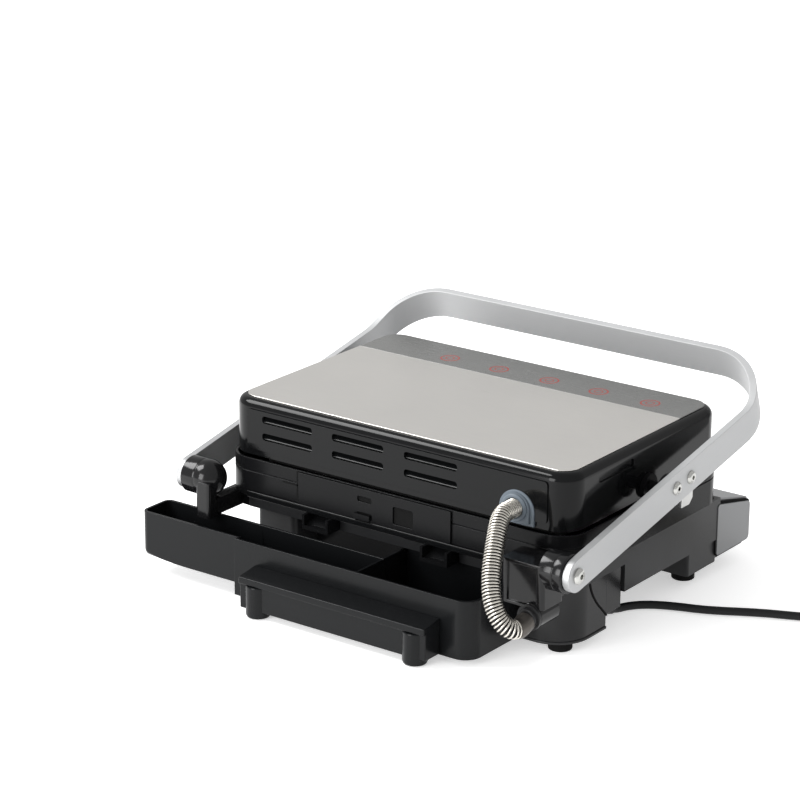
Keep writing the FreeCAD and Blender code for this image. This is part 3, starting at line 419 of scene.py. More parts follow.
# %% Floor and surround
floor_half, floor_glow, surround_light, white = 9, 0.5, 0.7, (1, 1, 1, 1)
bm = bmesh.new()
bmesh.ops.create_grid(bm, x_segments=1, y_segments=1, size=floor_half)
mesh = bpy.data.meshes.new("floor")
bm.to_mesh(mesh)
bm.free()
floor = bpy.data.objects.new("floor", mesh)
scene.collection.objects.link(floor)
pale = Finish("pale_floor", (0.93, 0.93, 0.93), 0.6)
pale.shade(pale.noise(3), 0.99, 1.01)
pale.shader.inputs["Emission Color"].default_value = white
pale.shader.inputs["Emission Strength"].default_value = floor_glow
mesh.materials.append(pale.material)

surround = bpy.data.worlds.new("surround")
surround.use_nodes = True
surround.node_tree.nodes["Background"].inputs["Color"].default_value = white
surround.node_tree.nodes["Background"].inputs["Strength"].default_value = surround_light
scene.world = surround
print("floor and surround set")


# %% Lights
def soft_light(name, place, aim, size, power):
    lamp = bpy.data.lights.new(name, "AREA")
    lamp.shape, lamp.size, lamp.size_y, lamp.energy = "RECTANGLE", size[0], size[1], power
    light = bpy.data.objects.new(name, lamp)
    light.location = place
    light.rotation_euler = (Vector(aim) - Vector(place)).to_track_quat("-Z", "Y").to_euler()
    scene.collection.objects.link(light)


soft_light("key_window", place=(1.15, 0.65, 1.5), aim=(0, 0, 0), size=(0.9, 0.9), power=34)
soft_light("rear_window", place=(0.5, 2.2, 0.7), aim=(0, 0, 0.15), size=(1.1, 1.2), power=36)
print("stage set")

# %% [markdown]
# ## Mains cord
# A moulded lead of 7 mm that leaves the column's front wall by its strain relief, drops to the
# table and runs off to one side. What the user has not unrolled lies there in a small tied coil,
# with the plug beside it. One open spline carries the whole length: its control points are the
# cord's route, and the turns of the coil are more points of the same spline.

# %% Cord route
run_out = [(-150, -92.6, 6.2), (-150.2, -99.8, 3.5), (-154, -111, 3.5), (-164.5, -123.5, 3.5),
           (-184, -134, 3.5), (-212, -143, 3.5), (-249, -165, 3.5), (-281, -178, 3.5),
           (-306, -191, 3.5)]
tail = [(-306, -278.1, 9.6), (-299, -278.2, 9.6), (-292, -279.6, 11), (-285, -282, 13)]
coil_x, coil_y, coil_radius, table_height = -314.5, -239.6, 42, 3.5
coil_start, coil_wound, coil_steps = 111.6, 878.4, 34


def eased(value, start, end):
    """0 before start, 1 after end, and a smooth rise between them."""
    share = min(max((value - start) / (end - start), 0), 1)
    return share * share * (3 - 2 * share)


turns = []
for step in range(coil_steps + 1):
    wound = coil_wound * step / coil_steps
    radius = coil_radius - 7 * eased(wound, 240, 350) + 3.5 * eased(wound, 510, 600)
    height = table_height + 6.9 * eased(wound, 470, 590) - 0.8 * eased(wound, 700, 745)
    angle = math.radians(coil_start + wound)
    turns.append((coil_x + radius * math.cos(angle), coil_y + radius * math.sin(angle), height))
cord_points = run_out + turns + tail
print(len(cord_points), "control points on the cord")

# %% Cord as one spline
line = bpy.data.curves.new("mains_cord", "CURVE")
line.dimensions = "3D"
line.bevel_depth, line.bevel_resolution, line.use_fill_caps = 0.0035, 4, True
spline = line.splines.new("NURBS")
spline.points.add(len(cord_points) - 1)
for point, place in zip(spline.points, cord_points):
    point.co = (*at(*place), 1)
spline.order_u, spline.use_endpoint_u, spline.resolution_u = 3, True, 8
mains_cord = bpy.data.objects.new("mains_cord", line)
scene.collection.objects.link(mains_cord)
line.materials.append(finishes["cord_black"])
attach(mains_cord, "base")
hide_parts("power_cord", "cord_coil", "cord_tail")

# %% [markdown]
# ## Lid
# The vents are real openings. A Boolean modifier could cut them, but it leaves long thin faces
# that shade badly. Here the flat wall is taken out and filled again round the slots' outlines, so
# the wall's thickness, added last, gives every slot its rim.


# %% Slots in a wall
def slot_outline(bm, centre, axis, width, height, radius):
    """The outline of a round-ended slot in a wall that faces along an axis."""
    before = set(bm.verts)
    bmesh.ops.create_grid(bm, x_segments=1, y_segments=1, size=0.5)
    new = [vert for vert in bm.verts if vert not in before]
    bmesh.ops.scale(bm, vec=(width, height, 1), verts=new)
    bmesh.ops.bevel(bm, geom=new, offset=radius * 0.98, offset_type="OFFSET", segments=6,
                    profile=0.5, affect="VERTICES", material=-1)
    new = [vert for vert in bm.verts if vert not in before]
    upright = Matrix.Rotation(math.pi / 2, 4, "X")
    turn = {1: upright, 0: Matrix.Rotation(math.pi / 2, 4, "Z") @ upright}[axis]
    bmesh.ops.transform(bm, matrix=Matrix.Translation(centre) @ turn, verts=new)
    faces = each_once(face for vert in new for face in vert.link_faces)
    edges = each_once(edge for face in faces for edge in face.edges)
    open_up(bm, faces)
    return edges


def fill_between(bm, edges, normal):
    bmesh.ops.triangle_fill(bm, use_beauty=True, use_dissolve=True, edges=edges, normal=normal)


def open_wall(bm, axis, level, slots):
    """Replace a wall's one flat face by the same face with slots in it."""
    flat = [face for face in in_level(bm.faces, axis, level) if face.calc_area() > 50]
    rim = each_once(edge for face in flat for edge in face.edges)
    open_up(bm, flat)
    edges = [edge for edge in rim if edge.is_valid]
    for slot in slots:
        edges += slot_outline(bm, *slot)
    fill_between(bm, edges, unit(axis) * (1 if level > 0 else -1))


print("slot helpers ready")

# %% [markdown]
# The lid's casing is one glossy moulding, open below. It starts as a block: its upright edges get
# the corner radius, its top edge the soft shoulder, and its bottom face goes. Each side has a long
# shallow recess, which is a slot with a thin floor set behind it.

# %% Lid casing
lid_side, lid_front, lid_back, lid_open, lid_top = 172, -223, 8, 106, 154
lid_corner, lid_shoulder, recess_y, recess_z = 21, 7.4, -59, 141.5
vent_wide, vent_tall, vent_round = 52.6, 6.4, 2.6
vents = [(across, level) for across in (108.6, 35.1, -38.4) for level in (139.6, 124.6)]
bm = block((-lid_side, lid_side), (lid_front, lid_back), (lid_open, lid_top))
round_off(bm, edges_along(bm, 2), lid_corner, 9)
round_off(bm, in_level(bm.edges, 2, lid_top), lid_shoulder, 5)
open_up(bm, in_level(bm.faces, 2, lid_open))
open_wall(bm, 1, lid_back, [((across, lid_back, level), 1, vent_wide, vent_tall, vent_round)
                            for across, level in vents])
for side in (-lid_side, lid_side):
    open_wall(bm, 0, side, [((side, recess_y, recess_z), 0, 52, 7, 3)])
finish_piece("lid_shell", bm, "lid", "gloss_black", ["lid_casing"], wall=2.6, soften=0.5)
for side_name, inner in (("left", (169.2, 170.7)), ("right", (-170.7, -169.2))):
    finish_piece(f"lid_recess_{side_name}", block(inner, (-86, -32), (137.4, 145.6)), "lid",
                 "gloss_black", soften=0.2)

# %% [markdown]
# A second, thin panel stands proud of the rear wall round the vents. Its upper edge catches the
# light as a bright line under the shoulder. Behind each vent a slanted louvre keeps spoons out.


# %% Rear panel
def face_outwards(bm, way):
    """Turn a flat sheet so that it faces a way."""
    wrong = [face for face in bm.faces if face.normal.dot(way) < 0]
    if wrong:
        bmesh.ops.reverse_faces(bm, faces=wrong)


panel_y = 9.3
bm = bmesh.new()
rims = slot_outline(bm, (0, panel_y, 129), 1, 302, 35, 3)
for across, level in vents:
    rims += slot_outline(bm, (across, panel_y, level), 1, vent_wide, vent_tall, vent_round)
fill_between(bm, rims, unit(1))
face_outwards(bm, unit(1))
finish_piece("lid_rear_panel", bm, "lid", "gloss_black", wall=1.25, soften=0.55, outward=False)

# %% Louvres
tilt, blade = Matrix.Rotation(math.radians(-40), 4, "X"), Matrix.Diagonal((55, 7.4, 1.1, 1))
bm = bmesh.new()
for across, level in vents:
    bmesh.ops.create_cube(bm, size=1,
                          matrix=Matrix.Translation((across, 5.4, level - 0.1)) @ tilt @ blade)
finish_piece("lid_louvres", bm, "lid", "gloss_black", soften=0.25)

# %% [markdown]
# ### Steel top and printed strip
# Two flat pieces of one millimetre sheet lie in the lid's top: the brushed plate, and in front of
# it a dark lacquered strip. Each has its two outer corners cut to the lid's own curve. One sheet
# with two finishes would do as well, but the joint between them would have no edge.

# %% Plates
plate_x, plate_z, plate_corner = (-165, 165), (lid_top, lid_top + 1), 15
bm = block(plate_x, (-166.5, 0), plate_z)
round_off(bm, edges_along(bm, 2, lambda point: point.y > -1), plate_corner, 8)
finish_piece("lid_plate", bm, "lid", "brushed_steel", ["top_plate"], soften=0.3)
bm = block(plate_x, (-217, -166.6), plate_z)
round_off(bm, edges_along(bm, 2, lambda point: point.y < -210), plate_corner, 8)
finish_piece("lid_strip", bm, "lid", "printed_strip", ["front_strip"], soften=0.3)

# %% [markdown]
# ### Grommet
# A grey arch-shaped bush is pressed into the lid's rear wall. It has a thin flange, a thicker
# body and a round collar that holds the conduit. The arch is a block whose two upper edges are
# rounded until they meet, and the collar a profile that is spun.


# %% Turned shapes
def turned(profile, centre, axis, count=40, fill=True, bm=None):
    """Spin a profile of (radius, along) points about an axis through a centre."""
    bm = bm or bmesh.new()
    before = set(bm.edges)
    side = unit(0) if axis == 2 else unit(2)
    verts = [bm.verts.new(Vector(centre) + side * radius + unit(axis) * step)
             for radius, step in profile]
    edges = [bm.edges.new(pair) for pair in zip(verts, verts[1:])]
    bmesh.ops.spin(bm, geom=verts + edges, cent=centre, axis=unit(axis), dvec=(0, 0, 0),
                   angle=math.tau, steps=count, use_merge=True, use_duplicate=False)
    bmesh.ops.remove_doubles(bm, verts=bm.verts, dist=weld)
    rims = [edge for edge in bm.edges if edge.is_boundary and edge not in before]
    if fill:
        bmesh.ops.holes_fill(bm, edges=rims, sides=count + 1)
    return bm


# %% Grommet
for piece, stands_for, x, y, z, arch, soften in (
        ("grommet_flange", ["conduit_grommet"], (-139.8, -106.2), (7.4, 10.4), (106.3, 134.4),
         16.7, 0.7),
        ("grommet_body", (), (-136.2, -109.8), (9, 12.6), (108.6, 132.6), 13.1, 0.8)):
    bm = block(x, y, z)
    round_off(bm, edges_along(bm, 1, lambda point: point.z > 130), arch, 12)
    finish_piece(piece, bm, "lid", "grommet_grey", stands_for, soften=soften)
bm = turned([(8.2, 9), (8.2, 14), (9, 14.9), (10.6, 14.9), (11.6, 14), (11.8, 11)],
            (-123, 0, 120.6), 1, fill=False)
finish_piece("grommet_collar", bm, "lid", "grommet_grey")

# %% [markdown]
# ## Handle
# A flat steel bar is bent to a wide U that is also the lid's pair of lifting arms. A curve with a
# bevel could sweep it, but it would twist at the bends. Here one short edge, as long as the bar is
# wide, is drawn along the bar's line station by station, and the sheet that it leaves is thickened
# inwards. The ends are round about the pivots, so the first and last stations follow a half
# circle.

# %% The handle's line
rise, steep, lean = math.radians(11.27), math.radians(39.66), math.radians(18.66)
kink_start, kink_long = 258.6, 28.0
bar_reach, bar_bend, arm_out, half_wide = 325.6, 56.5, 197.7, 13.5


def on_side(run):
    """Y, Z and lean of the bar's middle line, measured along its side from the pivot."""
    rate = (steep - rise) / kink_long
    turned_by = min(max(run - kink_start, 0), kink_long)
    plain, beyond = min(run, kink_start), max(run - kink_start - kink_long, 0)
    bent = rise + rate * turned_by
    back = plain * math.cos(rise) + (math.sin(bent) - math.sin(rise)) / rate
    lift = plain * math.sin(rise) + (math.cos(rise) - math.cos(bent)) / rate
    back, lift = back + beyond * math.cos(steep), lift + beyond * math.sin(steep)
    return pivot_y - back, pivot_z + lift, rise + turned_by / kink_long * (lean - rise)


tip = [math.radians(degrees) for degrees in (86, 75, 62, 50, 38, 25, 12)]
quarter = [math.pi / 2 * step / 18 for step in range(19)]
half = [(arm_out, -half_wide * math.sin(angle), half_wide * math.cos(angle)) for angle in tip]
half += [(arm_out, run, half_wide) for run in (*range(0, 250, 20), 250, 258, 264)]
half += [(arm_out - bar_bend + bar_bend * math.cos(angle),
          bar_reach - bar_bend + bar_bend * math.sin(angle), half_wide) for angle in quarter]
half += [(across, bar_reach, half_wide) for across in (110, 80, 40, 0)]
stations = half + [(-across, run, wide) for across, run, wide in reversed(half[:-1])]
print(len(stations), "stations along the bar")

# %% Handle strap
bm = bmesh.new()
ends, spread, length = None, {}, 0.0
for across, run, wide in stations:
    y, z, tilt = on_side(run)
    centre, side = Vector((across, y, z)), Vector((0, math.sin(tilt), math.cos(tilt))) * wide
    if ends is None:
        ends = [bm.verts.new(centre + side), bm.verts.new(centre - side)]
        edge = bm.edges.new(ends)
    else:
        grown = bmesh.ops.extrude_edge_only(bm, edges=[edge])["geom"]
        edge = next(item for item in grown if isinstance(item, bmesh.types.BMEdge))
        fresh = [item for item in grown if isinstance(item, bmesh.types.BMVert)]
        if (fresh[0].co - ends[0].co).length > (fresh[1].co - ends[0].co).length:
            fresh.reverse()
        length += (centre - before).length
        ends = fresh
        ends[0].co, ends[1].co = centre + side, centre - side
    before = centre
    for vert, way in zip(ends, (1, -1)):
        spread[vert] = (length / 1000, way * wide / 1000)
strap_map = bm.loops.layers.uv.new("strap")
for face in bm.faces:
    for loop in face.loops:
        loop[strap_map].uv = spread[loop.vert]
if max(bm.faces, key=lambda face: middle(face).x).normal.x < 0:
    bmesh.ops.reverse_faces(bm, faces=bm.faces)
finish_piece("handle_bar", bm, "handle", "handle_steel", ["handle_strap"], wall=6.2, soften=1.1,
             outward=False)
print(f"the bar is {length:.0f} mm long")

# %% [markdown]
# ### Screws
# Domed steel heads with a hexagon socket. Circles of falling size are bridged to make the dome,
# and the last circle is bridged to a hexagon whose sides were cut to as many points. A bevelled
# cylinder would be quicker, but the socket is what the eye looks for.


# %% Domed socket screws
def ring_of(bm, centre, radius, count):
    """A circle of edges about X, or a hexagon where the count is 6."""
    made = bmesh.ops.create_circle(bm, segments=count, radius=radius, matrix=Matrix.Translation(
        centre) @ Matrix.Rotation(math.pi / 2, 4, "Y"))["verts"]
    return [edge for edge in each_once(edge for vert in made for edge in vert.link_edges)
            if all(vert in made for vert in edge.verts)]


def socket_screw(bm, x, y, z, way, radius, tall, socket):
    loops = [ring_of(bm, (x + way * tall * step, y, z), radius * narrow, 24)
             for narrow, step in ((0.97, -0.1), (1, 0.25), (0.93, 0.6), (0.74, 0.9), (0.56, 1))]
    for step in (1, 0.25):
        hexagon = ring_of(bm, (x + way * tall * step, y, z), socket, 6)
        parts = bmesh.ops.subdivide_edges(bm, edges=hexagon, cuts=3)["geom_split"]
        loops.append([item for item in parts if isinstance(item, bmesh.types.BMEdge)])
    for first, second in zip(loops, loops[1:]):
        bmesh.ops.bridge_loops(bm, edges=first + second)
    bmesh.ops.holes_fill(bm, edges=loops[-1], sides=30)


bm = bmesh.new()
for way in (1, -1):
    for y, z in ((-109.8, 117.2), (-131.6, 120.6)):
        socket_screw(bm, way * arm_out, y, z, way, 5.6, 2.8, 2)
finish_piece("arm_button_screws", bm, "handle", "screw_steel", ["arm_screws"], sharp=30)
bm = bmesh.new()
for way in (1, -1):
    socket_screw(bm, way * 198, pivot_y, pivot_z, way, 6.7, 3.2, 2.4)
finish_piece("pivot_button_screws", bm, "base", "screw_steel", ["pivot_screws"], sharp=30)

# %% [markdown]
# ### Lid brackets
# Each arm carries the lid by a plate on its inner face. The plate's foot shows below the arm and
# is the stop for the lid's tilt. A dark pin runs from the plate into the lid's bush.

# %% Brackets and pins
float_pin, plate_in, plate_out = (0, -105.7, 115.3), 188.5, 191.5
for side_name, way in (("left", 1), ("right", -1)):
    inner = sorted((way * plate_in, way * plate_out))
    bm = block(inner, (-147, -130), (92.5, 116))
    round_off(bm, edges_along(bm, 0, lambda point: point.z < 93 and point.y < -140), 5, 1)
    finish_piece(f"bracket_foot_{side_name}", bm, "handle", "bracket_steel",
                 [f"lid_bracket_{side_name}"], soften=0.5)
    finish_piece(f"bracket_plate_{side_name}", block(inner, (-143, -100), (106, 124)), "handle",
                 "bracket_steel", soften=0.5)
    bm = turned([(radius, way * out) for radius, out in
                 ((4.9, 165.8), (5, 167), (5, 188.5), (13, 188.6), (13.6, 189.2), (13.6, 191.4))],
                float_pin, 0, 36)
    finish_piece(f"bracket_pin_{side_name}", bm, "handle", "bush", sharp=45)

# %% [markdown]
# ## Armoured conduit
# The lid's leads run in a hose of steel wire wound on a dark core. Its turns could be a bump on a
# plain tube, but the gaps between them show at the hose's edge. Here the wire is a real helix
# about the route's smooth curve, two and a half millimetres a turn, swept as a thin round bar.

# %% The conduit's line
route = [(-123, 9.5, 120.6), (-123.2, 18, 121), (-124.5, 35, 121), (-133, 54, 106),
         (-139.5, 69, 88), (-147, 79, 70), (-155.5, 81, 56), (-163, 77, 48), (-166, 68, 46),
         (-165.4, 59, 48.6), (-165, 54, 50)]


def swept(name, points, radius, smooth=True, sides=3):
    """A curve through points in millimetres, swept as a round bar, or bare where radius is 0."""
    line = bpy.data.curves.new(name, "CURVE")
    line.dimensions, line.bevel_depth, line.bevel_resolution = "3D", radius / 1000, sides
    line.use_fill_caps = radius > 0
    spline = line.splines.new("NURBS" if smooth else "POLY")
    spline.points.add(len(points) - 1)
    for point, place in zip(spline.points, points):
        point.co = (*at(*place), 1)
    if smooth:
        spline.order_u, spline.use_endpoint_u, spline.resolution_u = 3, True, 16
    holder = bpy.data.objects.new(name, line)
    mesh = bpy.data.meshes.new_from_object(holder)
    bpy.data.objects.remove(holder)
    return mesh


path = [to_frame.inverted() @ vert.co for vert in swept("route", route, 0).vertices]
reach = [0.0]
for first, second in zip(path, path[1:]):
    reach.append(reach[-1] + (second - first).length)
print(f"{len(path)} points on the conduit, {reach[-1]:.0f} mm")


# %% Wire wound on the line
def along_path(distance):
    """A point on the route, and its direction there."""
    index = next((n for n, far in enumerate(reach) if far >= distance), len(reach) - 1) or 1
    share = (distance - reach[index - 1]) / max(reach[index] - reach[index - 1], 1e-6)
    return path[index - 1].lerp(path[index], share), (path[index] - path[index - 1]).normalized()


wire, wind, pitch, per_turn, sleeve_hides = 0.86, 7.1, 2.5, 16, 15
coil_end = reach[-1] - sleeve_hides
helix, side = [], unit(2)
for step in range(int(coil_end / pitch * per_turn) + 1):
    spot, way = along_path(step * pitch / per_turn)
    side = (side - way * side.dot(way)).normalized()
    angle = math.tau * step / per_turn
    helix.append(spot + wind * (side * math.cos(angle) + way.cross(side) * math.sin(angle)))
print(len(helix), "points on the wire")

# %% [markdown]
# Near the lid the hose is split into a long part towards the base and a short one at the lid.
# Wire and core are parted at the same place.

# %% Hose in two parts
split_y, core_radius, core_short_of_end = 37, 6.3, 6
split = next(n for n, point in enumerate(path) if point.y > split_y)
split_step = int(reach[split] / pitch * per_turn)
core = [point for point, far in zip(path, reach) if far < reach[-1] - core_short_of_end]


def swept_piece(name, mesh, finish):
    piece = bpy.data.objects.new(name, mesh)
    scene.collection.objects.link(piece)
    mesh.materials.clear()
    mesh.materials.append(finishes[finish])
    mesh.shade_smooth()
    print(f"{name}: {len(mesh.polygons)} faces")
    return piece


long_bend = (("base", "handle"), at(0, 0, 55), at(0, 0, 121))
short_bend = (("handle", "lid"), at(0, split_y, 0), at(0, 15.5, 0))
for name, points, radius, sides, finish, (bodies, start, end), stands_for in (
        ("conduit_wire_long", helix[split_step:], wire, 2, "conduit_steel", long_bend, ["conduit"]),
        ("conduit_core_long", core[split:], core_radius, 3, "cord_black", long_bend, ()),
        ("conduit_wire_short", helix[:split_step + 1], wire, 2, "conduit_steel", short_bend, ()),
        ("conduit_core_short", core[:split + 1], core_radius, 3, "cord_black", short_bend, ())):
    piece = swept_piece(name, swept(name, points, radius, False, sides), finish)
    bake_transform(piece)
    if stands_for:
        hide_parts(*stands_for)

# %% [markdown]
# A plain drawn sleeve is crimped over the conduit's lower end, and its mouth sits in the collar.

# %% End sleeve
sleeve_start, sleeve_long, sleeve_radius = reach[-1] - 17, 15, 8.1
sleeve_path = [along_path(sleeve_start + step)[0] for step in range(sleeve_long)]
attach(swept_piece("conduit_sleeve", swept("sleeve", sleeve_path, sleeve_radius, False, 8),
                    "heater_sheath"), "base")

# %% [markdown]
# ## Base
# The base's upper band is a tub with large round corners. A shallow seam runs round it, where the
# two halves of the mould met. It is cut as a narrow band of faces that is then pushed in, because
# a dark line in the finish would not break the reflections.


# %% Base tub
def cut_at(bm, axis, level, faces=None):
    """Split faces, all of them unless some are given, where they cross a level of an axis."""
    chosen = list(faces or bm.faces)
    edges = each_once(edge for face in chosen for edge in face.edges)
    verts = each_once(vert for face in chosen for vert in face.verts)
    bmesh.ops.bisect_plane(bm, geom=[*chosen, *edges, *verts], plane_co=unit(axis) * level,
                           plane_no=unit(axis))


def push_in(bm, faces, margin, depth):
    """Draw a smaller outline in a flat region, and sink what lies inside it."""
    bmesh.ops.inset_region(bm, faces=faces, thickness=margin, depth=-depth, use_boundary=True,
                           use_even_offset=True)


tub_floor, tub_rim, seam_low, seam_high, seam_depth = 70, 104, 92.2, 93.2, 0.8
bm = block((-175.5, 175.5), (-227, 12), (tub_floor, tub_rim))
round_off(bm, edges_along(bm, 2), 25, 10)
open_up(bm, in_level(bm.faces, 2, tub_rim))
for level in (seam_low, seam_high):
    cut_at(bm, 2, level)
band = [face for face in bm.faces if seam_low < middle(face).z < seam_high]
push_in(bm, band, 0.12, seam_depth)
finish_piece("base_tub", bm, "base", "base_black", ["base_shell"], wall=2.6, soften=0.5)

# %% [markdown]
# A thin cover with three openings is clipped to the tub's rear wall, over a narrow ledge. It is
# filled round its outlines as the lid's panel is. Dark strips are painted shade: they stand for
# the shade in the gap at its end, in the notch beside it and behind its openings.

# %% Rear cover and ledge
cover_y = 13.9
bm = bmesh.new()
rims = slot_outline(bm, (15.8, cover_y, 89.2), 1, 155.6, 27.6, 1)
for across, level, width, tall in ((24.6, 94, 14, 4.6), (24.6, 80, 15, 4.8), (-14.5, 87, 20, 15)):
    rims += slot_outline(bm, (across, cover_y, level), 1, width, tall, 1.6)
fill_between(bm, rims, unit(1))
face_outwards(bm, unit(1))
finish_piece("rear_cover_panel", bm, "base", "base_black", ["rear_cover"], wall=1.8, soften=0.4,
             outward=False)
# painted shade: near-black strips put where the gap, the notch and the space behind the openings lie in shade
for name, x, z in (("cover_gap_shade", (93.8, 96.2), (75, 103.4)), ("cover_notch_shade", (94, 111), (90, 91.3)),
                   ("cover_painted_shade", (-30, 38), (76, 99))):
    finish_piece(name, block(x, (11.6, 12.3), z), "base", "foot_rubber")
finish_piece("rear_ledge_bar", block((-120, 148), (12, 15), (tub_floor, 75.4)), "base",
             "gloss_black", ["rear_ledge"], soften=0.7)

# %% [markdown]
# Behind the tub a short apron hangs from its floor, just clear of the tray's rim. Further in, a
# plain wall closes the bay that the tray slides into, so no daylight shows through the base.

# %% Apron and bay wall
finish_piece("rear_apron", block((-118, 166), (1.2, 3.8), (57, 70.4)), "base", "base_black",
             soften=0.5)
finish_piece("bay_wall", block((-120, 150), (-62, -59), (3, 66)), "base", "base_black",
             soften=0.5)

# %% [markdown]
# ### Pivot post and housing
# On the tray's side a square post rises from a beam and turns into a round boss with a domed end.
# The other side has a wider housing: a service cover in its rear face, a lobe for the conduit's
# collar, and the same boss. Bosses and lobe are spun, the rest are blocks with rounded edges.

# %% Left post
boss_radius, dome_start = 16, 173.2
dome = [(boss_radius * math.sin(angle), dome_start - boss_radius * math.cos(angle)) for angle in
        (math.radians(degrees) for degrees in range(4, 91, 9))]
bm = turned([*dome, (16, 176), (15.4, 176.6), (15.4, 178), (16, 178.6), (16, 190.2),
             (15.2, 191.2)], (0, pivot_y, pivot_z), 0, 48)
finish_piece("left_boss", bm, "base", "boss_black", ["pivot_post_left"], sharp=50)
bm = block((160, 174.6), (38, 50.6), (56.3, 88))
round_off(bm, edges_along(bm, 2), 3, 4)
finish_piece("left_leg", bm, "base", "boss_black", soften=0.6)
finish_piece("left_beam", block((160.4, 173.2), (-14, 42), (57, 72)), "base", "boss_black",
             soften=1.6)

# %% Right housing
housing_back = 50.6
bm = block((-176, -136), (20, housing_back), (57, 94))
round_off(bm, edges_along(bm, 2), 4, 4)
push_in(bm, in_level(bm.faces, 1, housing_back), 2.6, 0)
cover = max(in_level(bm.faces, 1, housing_back), key=lambda face: face.calc_area())
push_in(bm, [cover], 0.3, 1.8)
finish_piece("right_housing", bm, "base", "boss_black", ["pivot_housing_right", "housing_cover"],
             soften=0.6)
bm = turned([(9.2, 24), (10.6, 25), (10.6, 49.6), (9.6, 50.6)], (-164.8, 0, 50.5), 1, 40)
finish_piece("collar_lobe", bm, "base", "boss_black")
bm = turned([(15.2, -191.2), (16, -190.4), (16, -184), (15.3, -183.4), (15.3, -182.2),
             (16, -181.6), (16, -171), (15, -170)], (0, pivot_y, pivot_z), 0, 48)
finish_piece("right_boss", bm, "base", "boss_black", sharp=50)
finish_piece("right_beam", block((-171.5, -157.5), (12, 26), (57, 82.6)), "base", "boss_black",
             soften=1.6)

# %% [markdown]
# ### Rear column
# Under the housing a column carries the grill's weight. Its outer corner is drawn to a wide
# radius, a rim runs round its foot, and a flared seam parts it from the side wall. The seam could
# be cut in, as the tub's is, but it is curved, so it is a dark bar laid half into the wall.

# %% Column, rim and seam
column_in, column_out, column_foot, column_head = -124.6, -171.5, 8.5, 57


def outer_corner(bm):
    return edges_along(bm, 2, lambda point: point.x < column_out + 0.5 and point.y > 7)


bm = block((column_out, column_in), (-50, 7.5), (10.5, column_head))
round_off(bm, outer_corner(bm), 30, 12)
finish_piece("column_wall", bm, "base", "boss_black", ["rear_column"], soften=0.4)
finish_piece("column_wing", block((column_out, column_in), (-71.9, -49.6), (20.5, column_head)),
             "base", "boss_black", soften=0.4)
finish_piece("column_inner_wall", block((-157, column_in), (-71.9, -49.6), (column_foot, 21)),
             "base", "base_black", soften=0.4)
bm = block((-172.6, column_in), (-50, 8.4), (column_foot, 10.9))
round_off(bm, outer_corner(bm), 31, 12)
finish_piece("column_rim", bm, "base", "lower_black", ["column_lip"], soften=0.7)
seam = [(-171.7, y, z) for y, z in
        ((-24, 57), (-26, 50), (-29.7, 43), (-37, 33.4), (-46, 25), (-50.4, 20))]
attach(swept_piece("column_seam", swept("seam", seam, 0.85), "foot_rubber"), "base")

# %% [markdown]
# ### Control nose cheeks
# Each end of the nose has a steel cheek with rounded corners on a dark backing that shows as a
# thin border. Its upper edge falls towards the front. The backing is the same shape grown a little.

# %% Cheeks
for side_name, way in (("left", 1), ("right", -1)):
    for piece, finish, face, grow in (("cheek", "front_steel", (172.3, 174.2), 0),
                                      ("cheek_back", "foot_rubber", (169.8, 172.8), 1.3)):
        bm = block(sorted(way * depth for depth in face), (-275.4 - grow, -221),
                   (18 - grow, 64.6 + grow))
        for vert in bm.verts:
            if vert.co.y < -270 and vert.co.z > 60:
                vert.co.z -= 12
        round_off(bm, edges_along(bm, 0), 3.6, 5)
        finish_piece(f"{piece}_{side_name}", bm, "base", finish,
                     [f"side_plate_{side_name}"] if piece == "cheek" else (), soften=0.35)

# %% [markdown]
# ## Drip tray
# Two trays in one moulding: a deep one under the body, and a long shallow one whose end is the
# grip. Two open boxes could be pushed together, but a wall would be left between them. It starts
# as the deepest block. Part of its end wall is drawn out sideways, and part of the new end wall
# again, so the steps in plan and in depth are right. The top is then opened and the wall
# thickened inwards.


# %% Drawing out a wall
def draw_out(bm, axis, level, distance, where):
    """Extrude the part of a wall that passes the test."""
    wall = [face for face in in_level(bm.faces, axis, level) if where(middle(face))]
    grown = bmesh.ops.extrude_face_region(bm, geom=wall)["geom"]
    open_up(bm, [face for face in wall if face.is_valid])
    bmesh.ops.translate(bm, vec=unit(axis) * distance,
                        verts=[item for item in grown if isinstance(item, bmesh.types.BMVert)])


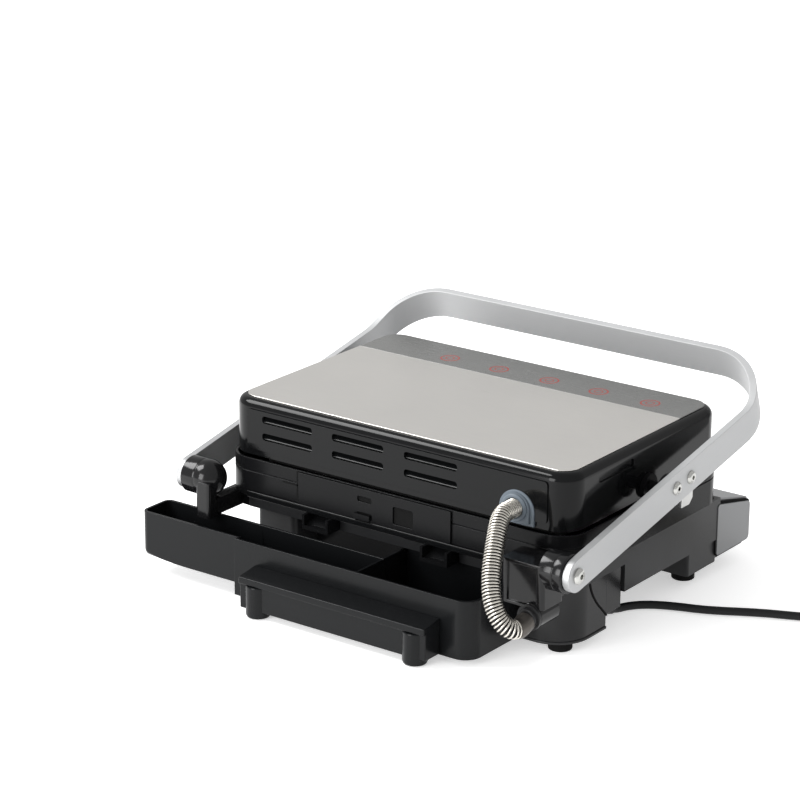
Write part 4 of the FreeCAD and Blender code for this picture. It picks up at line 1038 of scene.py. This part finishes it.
# %% Tray
deep_x, long_x, grip_x, tray_back, tray_rim = -6, 118, 223, 69, 55.5
long_front, grip_back, grip_floor = 29, 65, 14.7
bm = block((-121, deep_x), (-4, tray_back), (5.6, tray_rim))
cut_at(bm, 1, long_front, in_level(bm.faces, 0, deep_x))
draw_out(bm, 0, deep_x, long_x - deep_x, lambda point: point.y > long_front)
cut_at(bm, 1, grip_back, in_level(bm.faces, 0, long_x))
cut_at(bm, 2, grip_floor, in_level(bm.faces, 0, long_x))
draw_out(bm, 0, long_x, grip_x - long_x,
         lambda point: point.y < grip_back and point.z > grip_floor)
round_off(bm, edges_along(bm, 2, lambda point: point.x > grip_x - 1), 7, 6)
low_end = [edge for edge in bm.edges if len(edge.link_faces) == 2 and edge.calc_face_angle() > 1
           and all(vert.co.x > 214 and vert.co.z < grip_floor + 0.1 for vert in edge.verts)]
round_off(bm, low_end, 6, 5)
round_off(bm, edges_along(bm, 2, lambda point: point.x < -120 and point.y < 0), 3, 4)
round_off(bm, edges_along(bm, 2, lambda point: point.x < -120 and point.y > 60), 15, 8)
open_up(bm, in_level(bm.faces, 2, tray_rim))
finish_piece("tray_shell", bm, "tray", "tray_black", ["drip_tray"], wall=2.5, soften=0.7)
finish_piece("tray_divider", block((-8.5, deep_x), (28, 67.5), (7.5, 55.2)), "tray",
             "tray_black", soften=0.4)

# %% [markdown]
# ### Tray ledge
# A ledge stands out from the tray's back wall, on two stubby feet that keep the tray level when it
# is pulled out. It has one section all along, so the section is drawn once as a face and
# extruded. The feet are spun.

# %% Ledge and feet
section = [(69, 6.5), (89, 6.5), (89, 28.3), (91, 28.3), (91, 34), (69, 37.3)]
ledge_start, ledge_long = -92, 187.7
bm = bmesh.new()
face = bm.faces.new([bm.verts.new((ledge_start, y, z)) for y, z in section])
grown = bmesh.ops.extrude_face_region(bm, geom=[face])["geom"]
bmesh.ops.translate(bm, vec=(ledge_long, 0, 0),
                    verts=[item for item in grown if isinstance(item, bmesh.types.BMVert)])
finish_piece("tray_shelf", bm, "tray", "tray_black", ["tray_ledge"], soften=0.8)
bm = bmesh.new()
for across in (81.2, -77.9):
    turned([(7.5, 0.3), (9.6, 1), (10.5, 3), (10.5, 27), (9.8, 28)], (across, 83, 0), 2, 36, bm=bm)
finish_piece("tray_feet", bm, "tray", "tray_black", sharp=45)

# %% [markdown]
# ## The pieces that stay as they came
# Plates, heaters, reflectors, feet, knob, plug and the rest are already the right shape in the
# frame. Each gets the finish of its own slot, so that inside and outside speak of the same
# materials.

# %% Carried-over nodes
for part in frame["record"]["subparts"]:
    node = frame["nodes"][part["node"]]
    for holder in node.material_slots:
        holder.material = finishes[part["material_slot"]]
print(len(frame["nodes"]), "nodes finished")
